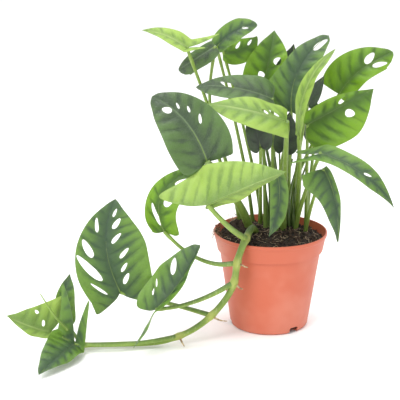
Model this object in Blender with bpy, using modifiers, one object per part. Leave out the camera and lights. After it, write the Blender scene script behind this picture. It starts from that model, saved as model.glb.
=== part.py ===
"""A young monstera in a plastic nursery pot, with one stem that trails over the rim and lies on the surface.

Lengths in the tables are in millimetres and MM turns them into metres. The origin is on the pot's axis,
at the surface that the pot stands on, with +Z up and -Y towards the front.
"""

import math

import bmesh
import bpy
from mathutils import Vector

MM = 0.001
GAP = 0.3 * MM  # left between pieces that touch

# Pot
POT_HEIGHT = 104 * MM
POT_TOP_RADIUS = 60.5 * MM
POT_BASE_RADIUS = 41.5 * MM
POT_WALL = 1.6 * MM
COLLAR_HEIGHT = 20 * MM
COLLAR_TAPER = 4 * MM
COLLAR_STEP = 2.6 * MM
BASE_ROUNDING = 2 * MM
DRAIN_NOTCHES = 3
FIRST_NOTCH_ANGLE = -54
NOTCH_WIDTH = 11 * MM
NOTCH_HEIGHT = 6 * MM
NOTCH_DEPTH = 7 * MM
FLOOR_HOLES = 6
FLOOR_HOLE_RADIUS = 3.5 * MM
FLOOR_HOLE_CIRCLE = 24 * MM
POT_FACETS = 40

# Soil
SOIL_BELOW_RIM = 4 * MM
SOIL_EDGE_DROP = 5 * MM
MOUND_PLACE = (-34 * MM, 30 * MM)
MOUND_HEIGHT = 9 * MM
MOUND_WIDTH = 13 * MM

# Plant
LEAF_THICKNESS = 0.6 * MM
VINE_RADIUS = 3.7 * MM
VINE_TIP_RADIUS = 2.6 * MM
NODE_SWELLING = 1.25
STALK_THICKNESS = 1.15  # multiplies every stalk's radii
STALK_TO_BLADE = 5.2 * MM
STALK_END_SHARE = 0.6  # a stalk's thickness at the blade, as a share of that at its foot
STALK_PLACES = 5
STALK_LEAN = 1.25  # a crown stalk rises first and leans out later
HOLE_SLANT = 0.45  # a hole follows the side veins: it runs forward as it runs outward
HOLE_POINTS = 8

# Where the trailing stem crosses the rim, from the pot's axis.
RIM_CROSSING_ANGLE = math.radians(243.4)
RIM_CROSSING_DRAWN = (-27, -54, 104)  # the crossing that the stem's table is drawn around

SOIL_LEVEL = POT_HEIGHT - SOIL_BELOW_RIM
RIM_CROSSING = Vector((math.cos(RIM_CROSSING_ANGLE), math.sin(RIM_CROSSING_ANGLE), 0)) * POT_TOP_RADIUS


def half(width, fold=0, curl=0, lobe=0.12, belly=0.28, heel_width=0.42, fullness=1.0, bluntness=0.0,
         holes=()):
    """One side of a blade: how wide it is, how it folds up and curls, and the shape of its edge.

    A hole is the share of the midrib where it starts, the shares of the half leaf that it runs between,
    and half its width.
    """
    return dict(width=width, fold=fold, curl=curl, lobe=lobe, belly=belly, heel_width=heel_width,
                fullness=fullness, bluntness=bluntness, holes=holes)


def leaf(foot, top, tip, face, left, right, arch=(0, 0, 0), bow=(0, 0, 0), thick=2.2, heel=None):
    """A leaf: where its stalk starts and ends, then the way from there to its tip, and the way it faces.

    The foot is a place on the soil, a numbered node of the trailing stem, or a place at that stem's end.
    The arch carries the middle of the midrib off its straight line, and the bow the middle of the stalk.
    """
    return dict(foot=foot, top=top, tip=tip, face=face, sides=(left, right), arch=arch, bow=bow,
                thick=thick, heel=heel)


# Leaves on the trailing stem: tops are given from the pot's axis, with heights above the surface.
VINE_LEAVES = {
    "vine_large": leaf(
        foot=4, top=(-157, -55, 53), tip=(-3, -5, 102), face=(0.05, -1, 0.15),
        arch=(-12, -5, 5), bow=(0, 14, -4), thick=2.6,
        left=half(35, fold=8, curl=10, lobe=0.16, belly=0.24, heel_width=0.7, bluntness=0.1,
                  holes=((0.02, 0.4, 0.7, 1.4), (0.15, 0.35, 0.95, 4), (0.38, 0.45, 0.85, 3.6),
                         (0.62, 0.35, 0.7, 1.8))),
        right=half(42, fold=8, curl=10, lobe=0.12, belly=0.45, heel_width=0.5, bluntness=0.12,
                   holes=((0.08, 0.2, 0.42, 2), (0.2, 0.25, 0.45, 1.6), (0.34, 0.3, 0.55, 2),
                          (0.5, 0.15, 0.42, 2.2), (0.66, 0.2, 0.5, 2.6), (0.8, 0.2, 0.42, 1.4)))),
    "vine_folded": leaf(
        foot=3, top=(-120, -85, 46), tip=(45, 15, 64), face=(-0.5, -1, 0.2),
        arch=(3, -2, -3), bow=(0, 0, -6), thick=2.8, heel=(-23, -10, -34),
        left=half(27, curl=12, belly=0.45, heel_width=0.6, bluntness=0.5,
                  holes=((0.12, 0.5, 0.8, 0.9), (0.24, 0.6, 0.8, 0.9), (0.5, 0.4, 0.85, 2.8))),
        right=half(18, fold=60, curl=10, lobe=0.48, belly=0.3, heel_width=0.6)),
    "vine_end_left": leaf(
        foot=(-200, -79, 5), top=(-228, -70, 16), tip=(-42, -18, 24), face=(-0.1, -1, 0.3),
        arch=(2, 0, -3), thick=2,
        left=half(10, fold=-10, lobe=0.05),
        right=half(44, fold=10, curl=14, lobe=0.12, belly=0.2, heel_width=0.6, fullness=0.8,
                   holes=((0.25, 0.1, 0.3, 1.8), (0.5, 0.55, 0.8, 1.5)))),
    "vine_end_back": leaf(
        foot=(-200, -73, 7), top=(-215, -58, 24), tip=(6, 2, 50), face=(-0.3, -1, 0.2),
        arch=(-4, 0, 0), thick=1.8,
        left=half(9, fold=10, curl=10), right=half(14, curl=20, belly=0.5)),
    "vine_end_front": leaf(
        foot=5, top=(-202, -89, 10), tip=(-28, -66, -3), face=(-0.1, -1, 0.5),
        arch=(4, 4, 4), bow=(0, -5, -2), thick=2.4, heel=(6, 6, 50),
        left=half(13, fold=8, lobe=0.5, belly=0.35, heel_width=0.8),
        right=half(25, curl=16, lobe=0.5, belly=0.15, heel_width=0.85, bluntness=0.3,
                   holes=((0.02, 0.3, 0.55, 2.6),))),
    "low_front": leaf(
        foot=1, top=(-67, -95, 159), tip=(76, -10, 36), face=(0.05, -1, 0.75),
        arch=(0, -6, 3), bow=(0, -12, 0), thick=3.2, heel=(-41, 0, -15),
        left=half(37, curl=20, lobe=0.46, belly=0.16, heel_width=0.66, fullness=0.95),
        right=half(14, fold=-75, lobe=0.06)),
    "low_back": leaf(
        foot=2, top=(-112, -45, 116), tip=(50, 0, 72), face=(-0.3, -1, 0.2),
        arch=(-24, 0, 9), bow=(0, 0, -13), thick=2.6,
        left=half(16, curl=10, lobe=0.04, belly=0.15, fullness=0.9, holes=((0.06, 0.0, 0.5, 2.4),)),
        right=half(22, curl=16, lobe=0.02, belly=0.45,
                   holes=((0.32, 0.3, 0.62, 3.6), (0.62, 0.25, 0.6, 2.4)))),
}

# Leaves of the crown: feet and tops are given from the pot's axis, with heights above the soil.
CROWN_LEAVES = {
    "dark_left": leaf(
        foot=(-20, 22), top=(-68, -80, 99), tip=(-54, 10, 63), face=(-0.1, -1, 0.25),
        arch=(6, -8, 9), thick=4.6,
        left=half(31, curl=16, lobe=0.04, belly=0.34, heel_width=0.55, bluntness=0.45,
                  holes=((0.7, 0.1, 0.34, 3.2),)),
        right=half(32, curl=16, lobe=0.06, belly=0.24, heel_width=0.7, bluntness=0.35,
                   holes=((0.38, 0.35, 0.55, 1.5), (0.55, 0.35, 0.5, 1.2), (0.66, 0.2, 0.36, 1.1)))),
    "pale_middle": leaf(
        foot=(15, 18), top=(11, -60, 135), tip=(-79, -10, 20), face=(0, -0.5, 1),
        arch=(0, -8, 4), thick=3.4,
        left=half(20, fold=-14, curl=-14, lobe=0.02, belly=0.35, heel_width=0.9, bluntness=0.3),
        right=half(19, curl=24, lobe=0.02, belly=0.3, heel_width=0.7,
                   holes=((0.1, 0.15, 0.45, 1.5), (0.24, 0.1, 0.3, 1.5)))),
    "inner_dark": leaf(
        foot=(-9, 36), top=(-14, -45, 105), tip=(-11, -5, 40), face=(0, -1, 0.4),
        arch=(0, -3, 2), left=half(12, curl=16), right=half(14, curl=16)),
    "inner_middle": leaf(
        foot=(4, 38), top=(12, -14, 95), tip=(4, -12, 42), face=(0, -1, 0.5),
        left=half(12, curl=16), right=half(14, curl=16)),
    "inner_right": leaf(
        foot=(41, 30), top=(47, 20, 100), tip=(0, -5, 40), face=(0.1, -1, 0.3),
        left=half(13, curl=16), right=half(13, curl=16)),
    "upper_middle": leaf(
        foot=(4, 27), top=(-2, -30, 152), tip=(-77, -14, 15), face=(-0.1, -0.7, 1),
        arch=(0, 0, 5),
        left=half(19, curl=10, lobe=0.04, belly=0.62, heel_width=0.5, bluntness=0.3),
        right=half(21, curl=16, lobe=0.03, belly=0.2, heel_width=0.6, bluntness=0.1,
                   holes=((0.5, 0.0, 0.4, 3),))),
    "pale_top_left": leaf(
        foot=(-30, 30), top=(-88, -40, 205), tip=(-44, 0, 18), face=(0, -0.8, 1),
        arch=(2, 0, 3), heel=(28, 0, 6),
        left=half(8, curl=20, lobe=0.45, heel_width=0.9), right=half(11, curl=20, lobe=0.62, heel_width=0.9)),
    "hanging_top_left": leaf(
        foot=(-22, 38), top=(-60, -18, 203), tip=(-37, 0, -24), face=(-0.3, -1, 0.5),
        bow=(-22, 4, 0), left=half(12, curl=14, lobe=0.02, belly=0.75, heel_width=0.3, bluntness=0.7),
        right=half(8, curl=24, lobe=0.02, belly=0.5, heel_width=0.6, bluntness=0.4)),
    "grey_top_left": leaf(
        foot=(-16, 45), top=(-58, 0, 200), tip=(41, -5, 23), face=(0, -1, 0.4), arch=(-2, -2, 5), thick=2,
        left=half(11, curl=14, lobe=0.02, belly=0.6, bluntness=0.5),
        right=half(10, curl=10, lobe=0.02, belly=0.5, bluntness=0.4, holes=((0.66, 0.0, 0.3, 1.2),))),
    "bright_top_left": leaf(
        foot=(-6, 48), top=(-51, 20, 192), tip=(35, 0, 16), face=(0, -1, 0.3), arch=(2, 0, -7), thick=2,
        left=half(13, lobe=0.02, belly=0.45, holes=((0.36, 0.3, 0.75, 1.5), (0.7, 0.15, 0.5, 1.3))),
        right=half(13, lobe=0.02, belly=0.5, bluntness=0.4)),
    "tall_middle": leaf(
        foot=(-4, 22), top=(-10, 20, 148), tip=(12, 0, 66), face=(0, -1, 0.2), arch=(0, -8, 3),
        left=half(24, curl=20, lobe=0.03, belly=0.25, heel_width=0.5, holes=((0.22, 0.1, 0.3, 3.4),)),
        right=half(20, curl=20, lobe=0.03, belly=0.5, heel_width=0.4, holes=((0.46, 0.35, 0.6, 3.8),))),
    "tall_back": leaf(
        foot=(8, 45), top=(2, 40, 143), tip=(22, 0, 54), face=(0, -1, 0.2), arch=(6, 0, -2),
        left=half(15, curl=16, lobe=0.02, belly=0.5), right=half(10, curl=16, lobe=0.02)),
    "tall_right": leaf(
        foot=(21, 34), top=(19, -10, 134), tip=(36, 0, 79), face=(-0.3, -1, 0.4), arch=(-12, -4, 5),
        left=half(28, curl=18, lobe=0.02, belly=0.2, heel_width=0.55, fullness=0.75, bluntness=0.35),
        right=half(21, curl=18, lobe=0.02, belly=0.35, heel_width=0.5, bluntness=0.55,
                   holes=((0.78, 0.1, 0.5, 3),))),
    "edge_on_right": leaf(
        foot=(30, 38), top=(24, -50, 120), tip=(31, -15, 88), face=(-1, -0.3, 0.2), arch=(-10, -2, 5),
        bow=(2, 0, 0), thick=3, left=half(11, curl=20, lobe=0.04, belly=0.5, heel_width=0.3),
        right=half(16, curl=20, lobe=0.04, belly=0.6, heel_width=0.4, bluntness=0.3)),
    "small_right": leaf(
        foot=(24, 47), top=(34, -28, 144), tip=(16, 0, 31), face=(0, -1, 0.2), thick=2,
        left=half(8, lobe=0.03), right=half(7, lobe=0.03)),
    "high_right": leaf(
        foot=(14, 48), top=(71, 20, 147), tip=(53, -10, 46), face=(0.1, -0.9, 0.4), arch=(-5, 0, 4),
        left=half(26, curl=18, lobe=0.04, belly=0.3, heel_width=0.7, bluntness=0.3,
                  holes=((0.6, 0.1, 0.5, 3.6),)),
        right=half(14, curl=20, lobe=0.02, belly=0.75, heel_width=0.3, bluntness=0.5,
                   holes=((0.66, 0.3, 0.75, 2.6),))),
    "bright_right": leaf(
        foot=(40, 20), top=(34, -30, 125), tip=(65, -5, 38), face=(0.1, -1, 0.3),
        left=half(13, curl=10, lobe=0.05, belly=0.35, heel_width=0.6, holes=((0.5, 0.3, 0.6, 1.8),)),
        right=half(34, curl=16, lobe=0.1, belly=0.45, heel_width=0.4, holes=((0.52, 0.22, 0.45, 4),))),
    "drooping_right": leaf(
        foot=(28, 19), top=(45, -60, 103), tip=(73, -20, -51), face=(0.3, -0.9, 1), arch=(4, -10, 9),
        thick=2.6, heel=(-30, 0, -6),
        left=half(13, curl=20, lobe=0.34, belly=0.4, heel_width=0.8, holes=((0.5, 0.1, 0.3, 1.3),)),
        right=half(12, curl=20, lobe=0.3, belly=0.35, heel_width=0.8)),
    "hanging_right": leaf(
        foot=(38, 9), top=(49, -55, 85), tip=(17, -5, -77), face=(0.2, -1, 0.1), arch=(4, 0, 6),
        left=half(6, lobe=0.02),
        right=half(28, curl=20, lobe=0.05, belly=0.15, heel_width=0.85, fullness=0.7)),
    "small_hanging": leaf(
        foot=(8, 10), top=(3, -50, 77), tip=(-8, -10, -62), face=(0, -1, 0.1), arch=(6, 2, 2), thick=1.6,
        left=half(9, curl=30, lobe=0.02, belly=0.65), right=half(10, curl=30, lobe=0.02, belly=0.35)),
}

# The trailing stem, from the pot's axis: its foot on the soil, then places with heights above the surface.
# A node swells where True stands.
VINE = (
    (-13, 14, 0, False),
    (-20, -14, 110, False),
    (-28, -53, 111, True),
    (-34, -59, 98, False),
    (-37, -60, 87, True),
    (-40, -60, 66, True),
    (-48, -61, 49, False),
    (-63, -63, 31, True),
    (-80, -66, 18, False),
    (-97, -68, 10, True),
    (-120, -71, 4.5, False),
    (-160, -75, 4, False),
    (-196, -77, 4, True),
)

SHOOTS = {
    "shoot_trailing": (((-209, -90, 26), (-222, -95, 45), (-234, -98, 68)), (1.8, 0.5)),
    "shoot_right": (((60, -12, 130), (62, -10, 139), (61, -8, 149)), (1.8, 0.5)),
}

COLOURS = {
    "pot": ((0.72, 0.20, 0.12), 0.45),
    "soil": ((0.035, 0.022, 0.015), 0.95),
    "blade": ((0.12, 0.28, 0.05), 0.40),
    "stalk": ((0.36, 0.50, 0.12), 0.45),
    "vine": ((0.40, 0.52, 0.10), 0.45),
}


def material(name, look):
    colour, roughness = COLOURS[look]
    made = bpy.data.materials.new(name)
    made.use_nodes = True
    shader = made.node_tree.nodes["Principled BSDF"]
    shader.inputs["Base Color"].default_value = (*colour, 1)
    shader.inputs["Roughness"].default_value = roughness
    shader.inputs["Metallic"].default_value = 0
    return made


def add_object(name, data, collection, look=None):
    made = bpy.data.objects.new(name, data)
    collection.objects.link(made)
    if look:
        data.materials.append(material(name, look))
    return made


def mesh_from(source):
    """A mesh of the object as it is evaluated, welded, with the object removed."""
    graph = bpy.context.evaluated_depsgraph_get()
    mesh = bpy.data.meshes.new_from_object(source.evaluated_get(graph))
    mesh.transform(source.matrix_world)
    bpy.data.objects.remove(source)
    shape = bmesh.new()
    shape.from_mesh(mesh)
    bmesh.ops.remove_doubles(shape, verts=shape.verts, dist=1e-6)
    shape.to_mesh(mesh)
    shape.free()
    return mesh


def smooth_curve(points, steps):
    """Points along a smooth curve through the given ones."""
    points = [Vector(p) for p in points]
    ends = [2 * points[0] - points[1], *points, 2 * points[-1] - points[-2]]
    curve = []
    for a, b, c, d in zip(ends, ends[1:], ends[2:], ends[3:]):
        for step in range(steps):
            u = step / steps
            curve.append(0.5 * (2 * b + (c - a) * u + (2 * a - 5 * b + 4 * c - d) * u * u
                                + (3 * b - a - 3 * c + d) * u ** 3))
    curve.append(points[-1])
    return curve


def turned(name, profile, steps, collection, look):
    """A solid of revolution: the profile runs down its outer side."""
    mesh = bpy.data.meshes.new(name)
    edges = [(i, i + 1) for i in range(len(profile) - 1)]
    mesh.from_pydata([(r, 0, z) for r, z in profile], edges, [])
    made = add_object(name, mesh, collection, look)
    screw = made.modifiers.new("turn", "SCREW")
    screw.steps = steps
    screw.render_steps = steps
    screw.use_merge_vertices = True
    screw.merge_threshold = 1e-5
    screw.use_smooth_shade = True
    return made


def tube(name, points, radii, collection, look, resolution=2):
    """A round tube with closed ends along the points, with a radius at each."""
    data = bpy.data.curves.new(name, "CURVE")
    data.dimensions = "3D"
    data.bevel_depth = 1.0
    data.bevel_resolution = resolution
    data.use_fill_caps = True
    spline = data.splines.new("POLY")
    spline.points.add(len(points) - 1)
    for knot, place, radius in zip(spline.points, points, radii):
        knot.co = (*place, 1)
        knot.radius = radius
    spline.use_smooth = True
    return add_object(name, data, collection, look)


def make_pot(collection, cutters, look):
    collar_bottom = POT_HEIGHT - COLLAR_HEIGHT
    collar_radius = POT_TOP_RADIUS - COLLAR_TAPER
    body_radius = collar_radius - COLLAR_STEP
    lip = 0.5 * POT_WALL
    rise = collar_bottom + POT_WALL
    slope = (body_radius - POT_BASE_RADIUS) / collar_bottom
    profile = [
        (POT_TOP_RADIUS - POT_WALL + lip, POT_HEIGHT),
        (POT_TOP_RADIUS, POT_HEIGHT - lip),
        (POT_TOP_RADIUS, POT_HEIGHT - 2 * POT_WALL),
        (POT_TOP_RADIUS - lip, POT_HEIGHT - 2.6 * POT_WALL),
        (collar_radius, collar_bottom + lip),
        (collar_radius - lip, collar_bottom),
        (body_radius, collar_bottom),
        (POT_BASE_RADIUS + slope * BASE_ROUNDING, BASE_ROUNDING),
        (POT_BASE_RADIUS - 0.3 * BASE_ROUNDING, 0.3 * BASE_ROUNDING),
        (POT_BASE_RADIUS - BASE_ROUNDING, 0),
        (0, 0),
        (0, POT_WALL),
        (POT_BASE_RADIUS - POT_WALL, POT_WALL),
        (body_radius - POT_WALL, rise),
        (collar_radius - POT_WALL, rise + COLLAR_STEP),
        (POT_TOP_RADIUS - 1.5 * POT_WALL, POT_HEIGHT - 2 * POT_WALL),
        (POT_TOP_RADIUS - POT_WALL, POT_HEIGHT - lip),
        (POT_TOP_RADIUS - POT_WALL + lip, POT_HEIGHT),
    ]
    pot = turned("pot", profile, POT_FACETS, collection, look)
    mesh = bpy.data.meshes.new("drainage")
    shape = bmesh.new()
    for number in range(DRAIN_NOTCHES):
        angle = math.radians(FIRST_NOTCH_ANGLE + 360 * number / DRAIN_NOTCHES)
        made = bmesh.ops.create_cube(shape, size=1)["verts"]
        bmesh.ops.scale(shape, verts=made, vec=(2 * NOTCH_DEPTH, NOTCH_WIDTH, 2 * NOTCH_HEIGHT))
        bmesh.ops.translate(shape, verts=made, vec=(POT_BASE_RADIUS, 0, 0))
        turn_about_axis(shape, made, angle)
    for number in range(FLOOR_HOLES):
        angle = 2 * math.pi * number / FLOOR_HOLES
        made = bmesh.ops.create_cone(shape, cap_ends=True, segments=12, radius1=FLOOR_HOLE_RADIUS,
                                     radius2=FLOOR_HOLE_RADIUS, depth=4 * POT_WALL)["verts"]
        bmesh.ops.translate(shape, verts=made, vec=(FLOOR_HOLE_CIRCLE, 0, 0))
        turn_about_axis(shape, made, angle)
    shape.to_mesh(mesh)
    shape.free()
    cutter = add_object("drainage", mesh, cutters)
    cutter.hide_render = True
    cutter.display_type = "WIRE"
    cut = pot.modifiers.new("drainage", "BOOLEAN")
    cut.object = cutter
    return pot


def turn_about_axis(shape, verts, angle):
    for vert in verts:
        x, y, z = vert.co
        vert.co = (x * math.cos(angle) - y * math.sin(angle), x * math.sin(angle) + y * math.cos(angle), z)


def soil_radius():
    """The soil's radius where its top meets the pot's inner wall."""
    share = SOIL_BELOW_RIM / COLLAR_HEIGHT
    return POT_TOP_RADIUS - 1.5 * POT_WALL - COLLAR_TAPER * share - 4 * GAP


def soil_height(x, y):
    """The height of the soil's top: flat in the middle, lower at the wall, with a mound at the back left."""
    radius = math.hypot(x, y) / soil_radius()
    edge = SOIL_EDGE_DROP * max(0.0, radius - 0.72) / 0.28
    away = math.hypot(x - MOUND_PLACE[0], y - MOUND_PLACE[1]) / MOUND_WIDTH
    return SOIL_LEVEL - edge + MOUND_HEIGHT * math.exp(-away * away)


def make_soil(collection, look):
    top = soil_radius()
    collar_bottom = POT_HEIGHT - COLLAR_HEIGHT
    body_radius = POT_TOP_RADIUS - COLLAR_TAPER - COLLAR_STEP
    clearance = POT_WALL + 4 * GAP
    profile = [(top * share, SOIL_LEVEL) for share in (0, 0.25, 0.5, 0.75, 0.9, 1)]
    profile += [
        (top - COLLAR_STEP, collar_bottom + 2 * POT_WALL + COLLAR_STEP),
        (body_radius - clearance, collar_bottom + POT_WALL - GAP),
        (POT_BASE_RADIUS - clearance, POT_WALL + GAP + NOTCH_HEIGHT),
        (POT_BASE_RADIUS - clearance - NOTCH_DEPTH, POT_WALL + GAP),
        (0, POT_WALL + GAP),
    ]
    soil = turned("soil", profile, 24, collection, look)
    mesh = mesh_from(soil)
    for vert in mesh.vertices:
        if vert.co.z > SOIL_LEVEL - GAP:
            vert.co.z = soil_height(vert.co.x, vert.co.y)
    return add_object("soil", mesh, collection)


def draped(x, y, height):
    """A place on the trailing plant, which follows the rim outwards and up as the pot's size changes."""
    drawn_x, drawn_y, drawn_rim = RIM_CROSSING_DRAWN
    share = min(1.0, height / drawn_rim)
    lift = (POT_HEIGHT - drawn_rim * MM) * share
    return Vector((x - drawn_x, y - drawn_y, height)) * MM + RIM_CROSSING + Vector((0, 0, lift))


def crown(x, y, height):
    """A place in the upright plant, above the soil's level."""
    return Vector((x * MM, y * MM, SOIL_LEVEL + height * MM))


def stand_on_soil(point, towards, radius):
    """The point lifted so that a foot of the radius, leaning the given way, clears the soil all round."""
    around = [i * math.pi / 4 for i in range(8)]
    highest = max(soil_height(point.x + radius * math.cos(a), point.y + radius * math.sin(a)) for a in around)
    lean = (towards - point).normalized().xy.length
    return Vector((point.x, point.y, highest + radius * lean + 2 * GAP))


def leave_vine(points, radius, stem, node):
    """The route started clear of the trailing stem's side, where the stalk grows out of a node."""
    out = (points[1] - points[0]).normalized()
    along = (stem[node + 1] - stem[node - 1]).normalized()
    cosine = abs(out.dot(along))
    sine = math.sqrt(1 - cosine * cosine)
    away = (VINE_RADIUS * NODE_SWELLING + 2 * GAP + radius * cosine) / sine
    return [points[0] + out * away, *points[1:]]


def stalk_route(spec):
    """The stalk's points, from its foot to where its blade begins."""
    foot, radius = spec["foot"], spec["thick"] * STALK_THICKNESS * MM
    in_soil = not isinstance(foot, int) and len(foot) == 2
    stem = [draped(*place[:3]) for place in VINE]
    nodes = [i for i, place in enumerate(VINE) if place[3]]
    if in_soil:
        start, end, lean = crown(*foot, 0), crown(*spec["top"]), STALK_LEAN
    else:
        start = stem[nodes[foot - 1]] if isinstance(foot, int) else draped(*foot)
        end, lean = draped(*spec["top"]), 1.0
    points = []
    for i in range(STALK_PLACES):
        share = i / (STALK_PLACES - 1)
        across = share ** lean
        place = start + (end - start) * Vector((across, across, share))
        points.append(place + 4 * share * (1 - share) * Vector(spec["bow"]) * MM)
    if in_soil:
        points[0] = stand_on_soil(points[0], points[1], radius)
    elif isinstance(foot, int):
        points = leave_vine(points, radius, stem, nodes[foot - 1])
    return points


def keep_off_surface(points, radii):
    """Lifts what would sink into the surface that the pot stands on."""
    for point, radius in zip(points, radii):
        point.z = max(point.z, radius + GAP)


def make_stalk(name, spec, collection, look):
    points = smooth_curve(stalk_route(spec), 2)
    end = points[-1]
    back = (points[-2] - end).normalized()
    points = [p for p in points if (p - end).length > 1.5 * STALK_TO_BLADE] + [end + back * STALK_TO_BLADE]
    start = spec["thick"] * STALK_THICKNESS * MM
    finish = start * STALK_END_SHARE
    last = len(points) - 1
    radii = [start + (finish - start) * (i / last) ** 0.7 for i in range(last + 1)]
    keep_off_surface(points, radii)
    return tube("stalk_" + name, points, radii, collection, look, 1)


def edge_of(side):
    """The edge of one half of a blade, from the stalk round to the tip: share of the midrib, width."""
    lobe, belly, heel_width = side["lobe"], side["belly"], side["heel_width"]
    full, blunt = side["fullness"], side["bluntness"]
    rest = 1 - belly
    shoulder = min(1.0, heel_width + 0.62 * (0.93 - heel_width))
    points = [
        (0, 0, 0),
        (-0.5 * lobe, 0.3 * heel_width, 0),
        (-lobe, heel_width, 0),
        (-0.5 * lobe, shoulder, 0),
        (0.3 * belly, 0.96, 0),
        (belly, 1, 0),
        (belly + 0.33 * rest, 0.86 * full, 0),
        (belly + 0.65 * rest, 0.52 * full + 0.25 * blunt, 0),
        (belly + 0.86 * rest, 0.20 * full + 0.35 * blunt, 0),
        (belly + 0.95 * rest, 0.07 + 0.30 * blunt, 0),
        (1, 0, 0),
    ]
    return [(p.x, p.y) for p in smooth_curve(points, 2)]


def width_at(side, edge, share):
    """The half blade's width where the midrib has run the given share."""
    start = min(range(len(edge)), key=lambda i: edge[i][0])
    outer = edge[start:]
    for (s0, w0), (s1, w1) in zip(outer, outer[1:]):
        if s0 <= share <= s1:
            return side["width"] * MM * (w0 + (w1 - w0) * (share - s0) / (s1 - s0))
    return 0.0


def hole_loops(side, edge, length):
    for hole in side["holes"]:
        start, inner, outer, half_width = hole
        stop = start + HOLE_SLANT * (outer - inner)
        near = Vector((start * length, inner * width_at(side, edge, start)))
        far = Vector((stop * length, outer * width_at(side, edge, stop)))
        centre, reach = (near + far) / 2, (far - near) / 2
        across = Vector((-reach.y, reach.x)).normalized() * half_width * MM
        angles = [2 * math.pi * i / HOLE_POINTS for i in range(HOLE_POINTS)]
        yield [centre + math.cos(a) * reach + math.sin(a) * across for a in angles]


def flat_blade(spec, length):
    """The blade as a flat plate: x along the midrib from the stalk, y to the right of it."""
    data = bpy.data.curves.new("flat", "CURVE")
    data.dimensions = "2D"
    data.fill_mode = "BOTH"
    data.extrude = 0.5 * LEAF_THICKNESS
    loops = [[]]
    for side, sign in zip(spec["sides"], (-1, 1)):
        edge = edge_of(side)
        rim = [(s * length, sign * w * side["width"] * MM) for s, w in edge]
        loops[0] += rim if sign < 0 else rim[-2:0:-1]
        loops += [[(p.x, sign * p.y) for p in loop] for loop in hole_loops(side, edge, length)]
    for loop in loops:
        spline = data.splines.new("POLY")
        spline.points.add(len(loop) - 1)
        for knot, (x, y) in zip(spline.points, loop):
            knot.co = (x, y, 0, 1)
        spline.use_cyclic_u = True
    return mesh_from(add_object("flat", data, bpy.context.scene.collection))


def bend_blade(spec, base, length, flat):
    """Where a point of the flat blade lies on the leaf."""
    tip = Vector(spec["tip"]) * MM
    pull = tip / 2 + 2 * Vector(spec["arch"]) * MM
    share = flat.x / length
    ahead = max(share, 0.0)
    centre = base + 2 * ahead * (1 - ahead) * pull + ahead * ahead * tip
    along = tip.normalized()
    if share < 0:
        lobe = max(side["lobe"] for side in spec["sides"])
        heel = Vector(spec["heel"]) * MM if spec["heel"] else -along * lobe * length
        centre += heel * (-share / lobe)
    tangent = (2 * (1 - ahead) * pull + 2 * ahead * (tip - pull)).normalized()
    tangent = (tangent + along).normalized()
    right = tangent.cross(Vector(spec["face"]).normalized()).normalized()
    up = right.cross(tangent)
    side, way = (spec["sides"][0], -1) if flat.y < 0 else (spec["sides"][1], 1)
    reach = abs(flat.y)
    lean = math.radians(side["fold"] + 0.5 * side["curl"] * reach / (side["width"] * MM))
    out = way * math.cos(lean) * right + math.sin(lean) * up
    normal = math.cos(lean) * up - way * math.sin(lean) * right
    return centre + reach * out + flat.z * normal


CUTS_ALONG = (-0.55, 0.0, 0.55)
CUTS_ACROSS = (0.0, 0.18, 0.36, 0.54, 0.72, 0.88)
SMALL_BLADE = 50 * MM


def make_blade(name, spec, collection, look):
    base = stalk_route(spec)[-1]
    length = (Vector(spec["tip"]) * MM).length
    mesh = flat_blade(spec, length)
    shape = bmesh.new()
    shape.from_mesh(mesh)
    bmesh.ops.recalc_face_normals(shape, faces=shape.faces)
    bmesh.ops.dissolve_limit(shape, angle_limit=math.radians(1), verts=shape.verts, edges=shape.edges)
    widths = (spec["sides"][0]["width"] * MM, spec["sides"][1]["width"] * MM)
    planes = [((0, share * widths[0 if share < 0 else 1], 0), (0, 1, 0)) for share in CUTS_ALONG]
    across = CUTS_ACROSS if length > SMALL_BLADE else CUTS_ACROSS[::2]
    planes += [((share * length, 0, 0), (1, 0, 0)) for share in across]
    for place, normal in planes:
        bmesh.ops.bisect_plane(shape, geom=shape.verts[:] + shape.edges[:] + shape.faces[:], dist=1e-6,
                               plane_co=place, plane_no=normal)
    bmesh.ops.triangulate(shape, faces=shape.faces)  # while flat, so that both faces bend alike
    for vert in shape.verts:
        vert.co = bend_blade(spec, base, length, vert.co)
    bmesh.ops.reverse_faces(shape, faces=shape.faces)  # the bend mirrors the flat blade
    shape.to_mesh(mesh)
    shape.free()
    mesh.shade_smooth()
    mesh.set_sharp_from_angle(angle=math.radians(40))
    return add_object("leaf_" + name, mesh, collection, look)


def make_vine(collection, look):
    place = [draped(x, y, z) for x, y, z, _ in VINE]
    place[0] = stand_on_soil(crown(*VINE[0][:3]), place[1], VINE_RADIUS)
    points = smooth_curve(place, 2)
    last = len(points) - 1
    radii = []
    for i in range(last + 1):
        radius = VINE_RADIUS + (VINE_TIP_RADIUS - VINE_RADIUS) * (i / last) ** 2
        swollen = i % 2 == 0 and VINE[i // 2][3]
        radii.append(radius * (NODE_SWELLING if swollen else 1.0))
    keep_off_surface(points, radii)
    return tube("vine_stem", points, radii, collection, look)


def main():
    for item in list(bpy.data.objects):
        bpy.data.objects.remove(item)
    scene = bpy.context.scene.collection
    plant = bpy.data.collections.new("potted_monstera")
    cutters = bpy.data.collections.new("cutters")
    scene.children.link(plant)
    scene.children.link(cutters)
    make_pot(plant, cutters, "pot")
    soil = make_soil(plant, "soil")
    soil.data.shade_smooth()
    make_vine(plant, "vine")
    for name, spec in {**VINE_LEAVES, **CROWN_LEAVES}.items():
        make_stalk(name, spec, plant, "stalk")
        make_blade(name, spec, plant, "blade")
    for name, (route, (thick, thin)) in SHOOTS.items():
        place = draped if name == "shoot_trailing" else crown
        points = smooth_curve([place(*p) for p in route], 2)
        last = len(points) - 1
        radii = [(thick + (thin - thick) * i / last) * MM for i in range(last + 1)]
        tube(name, points, radii, plant, "stalk", 1)


main()
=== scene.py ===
import math
import random

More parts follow.
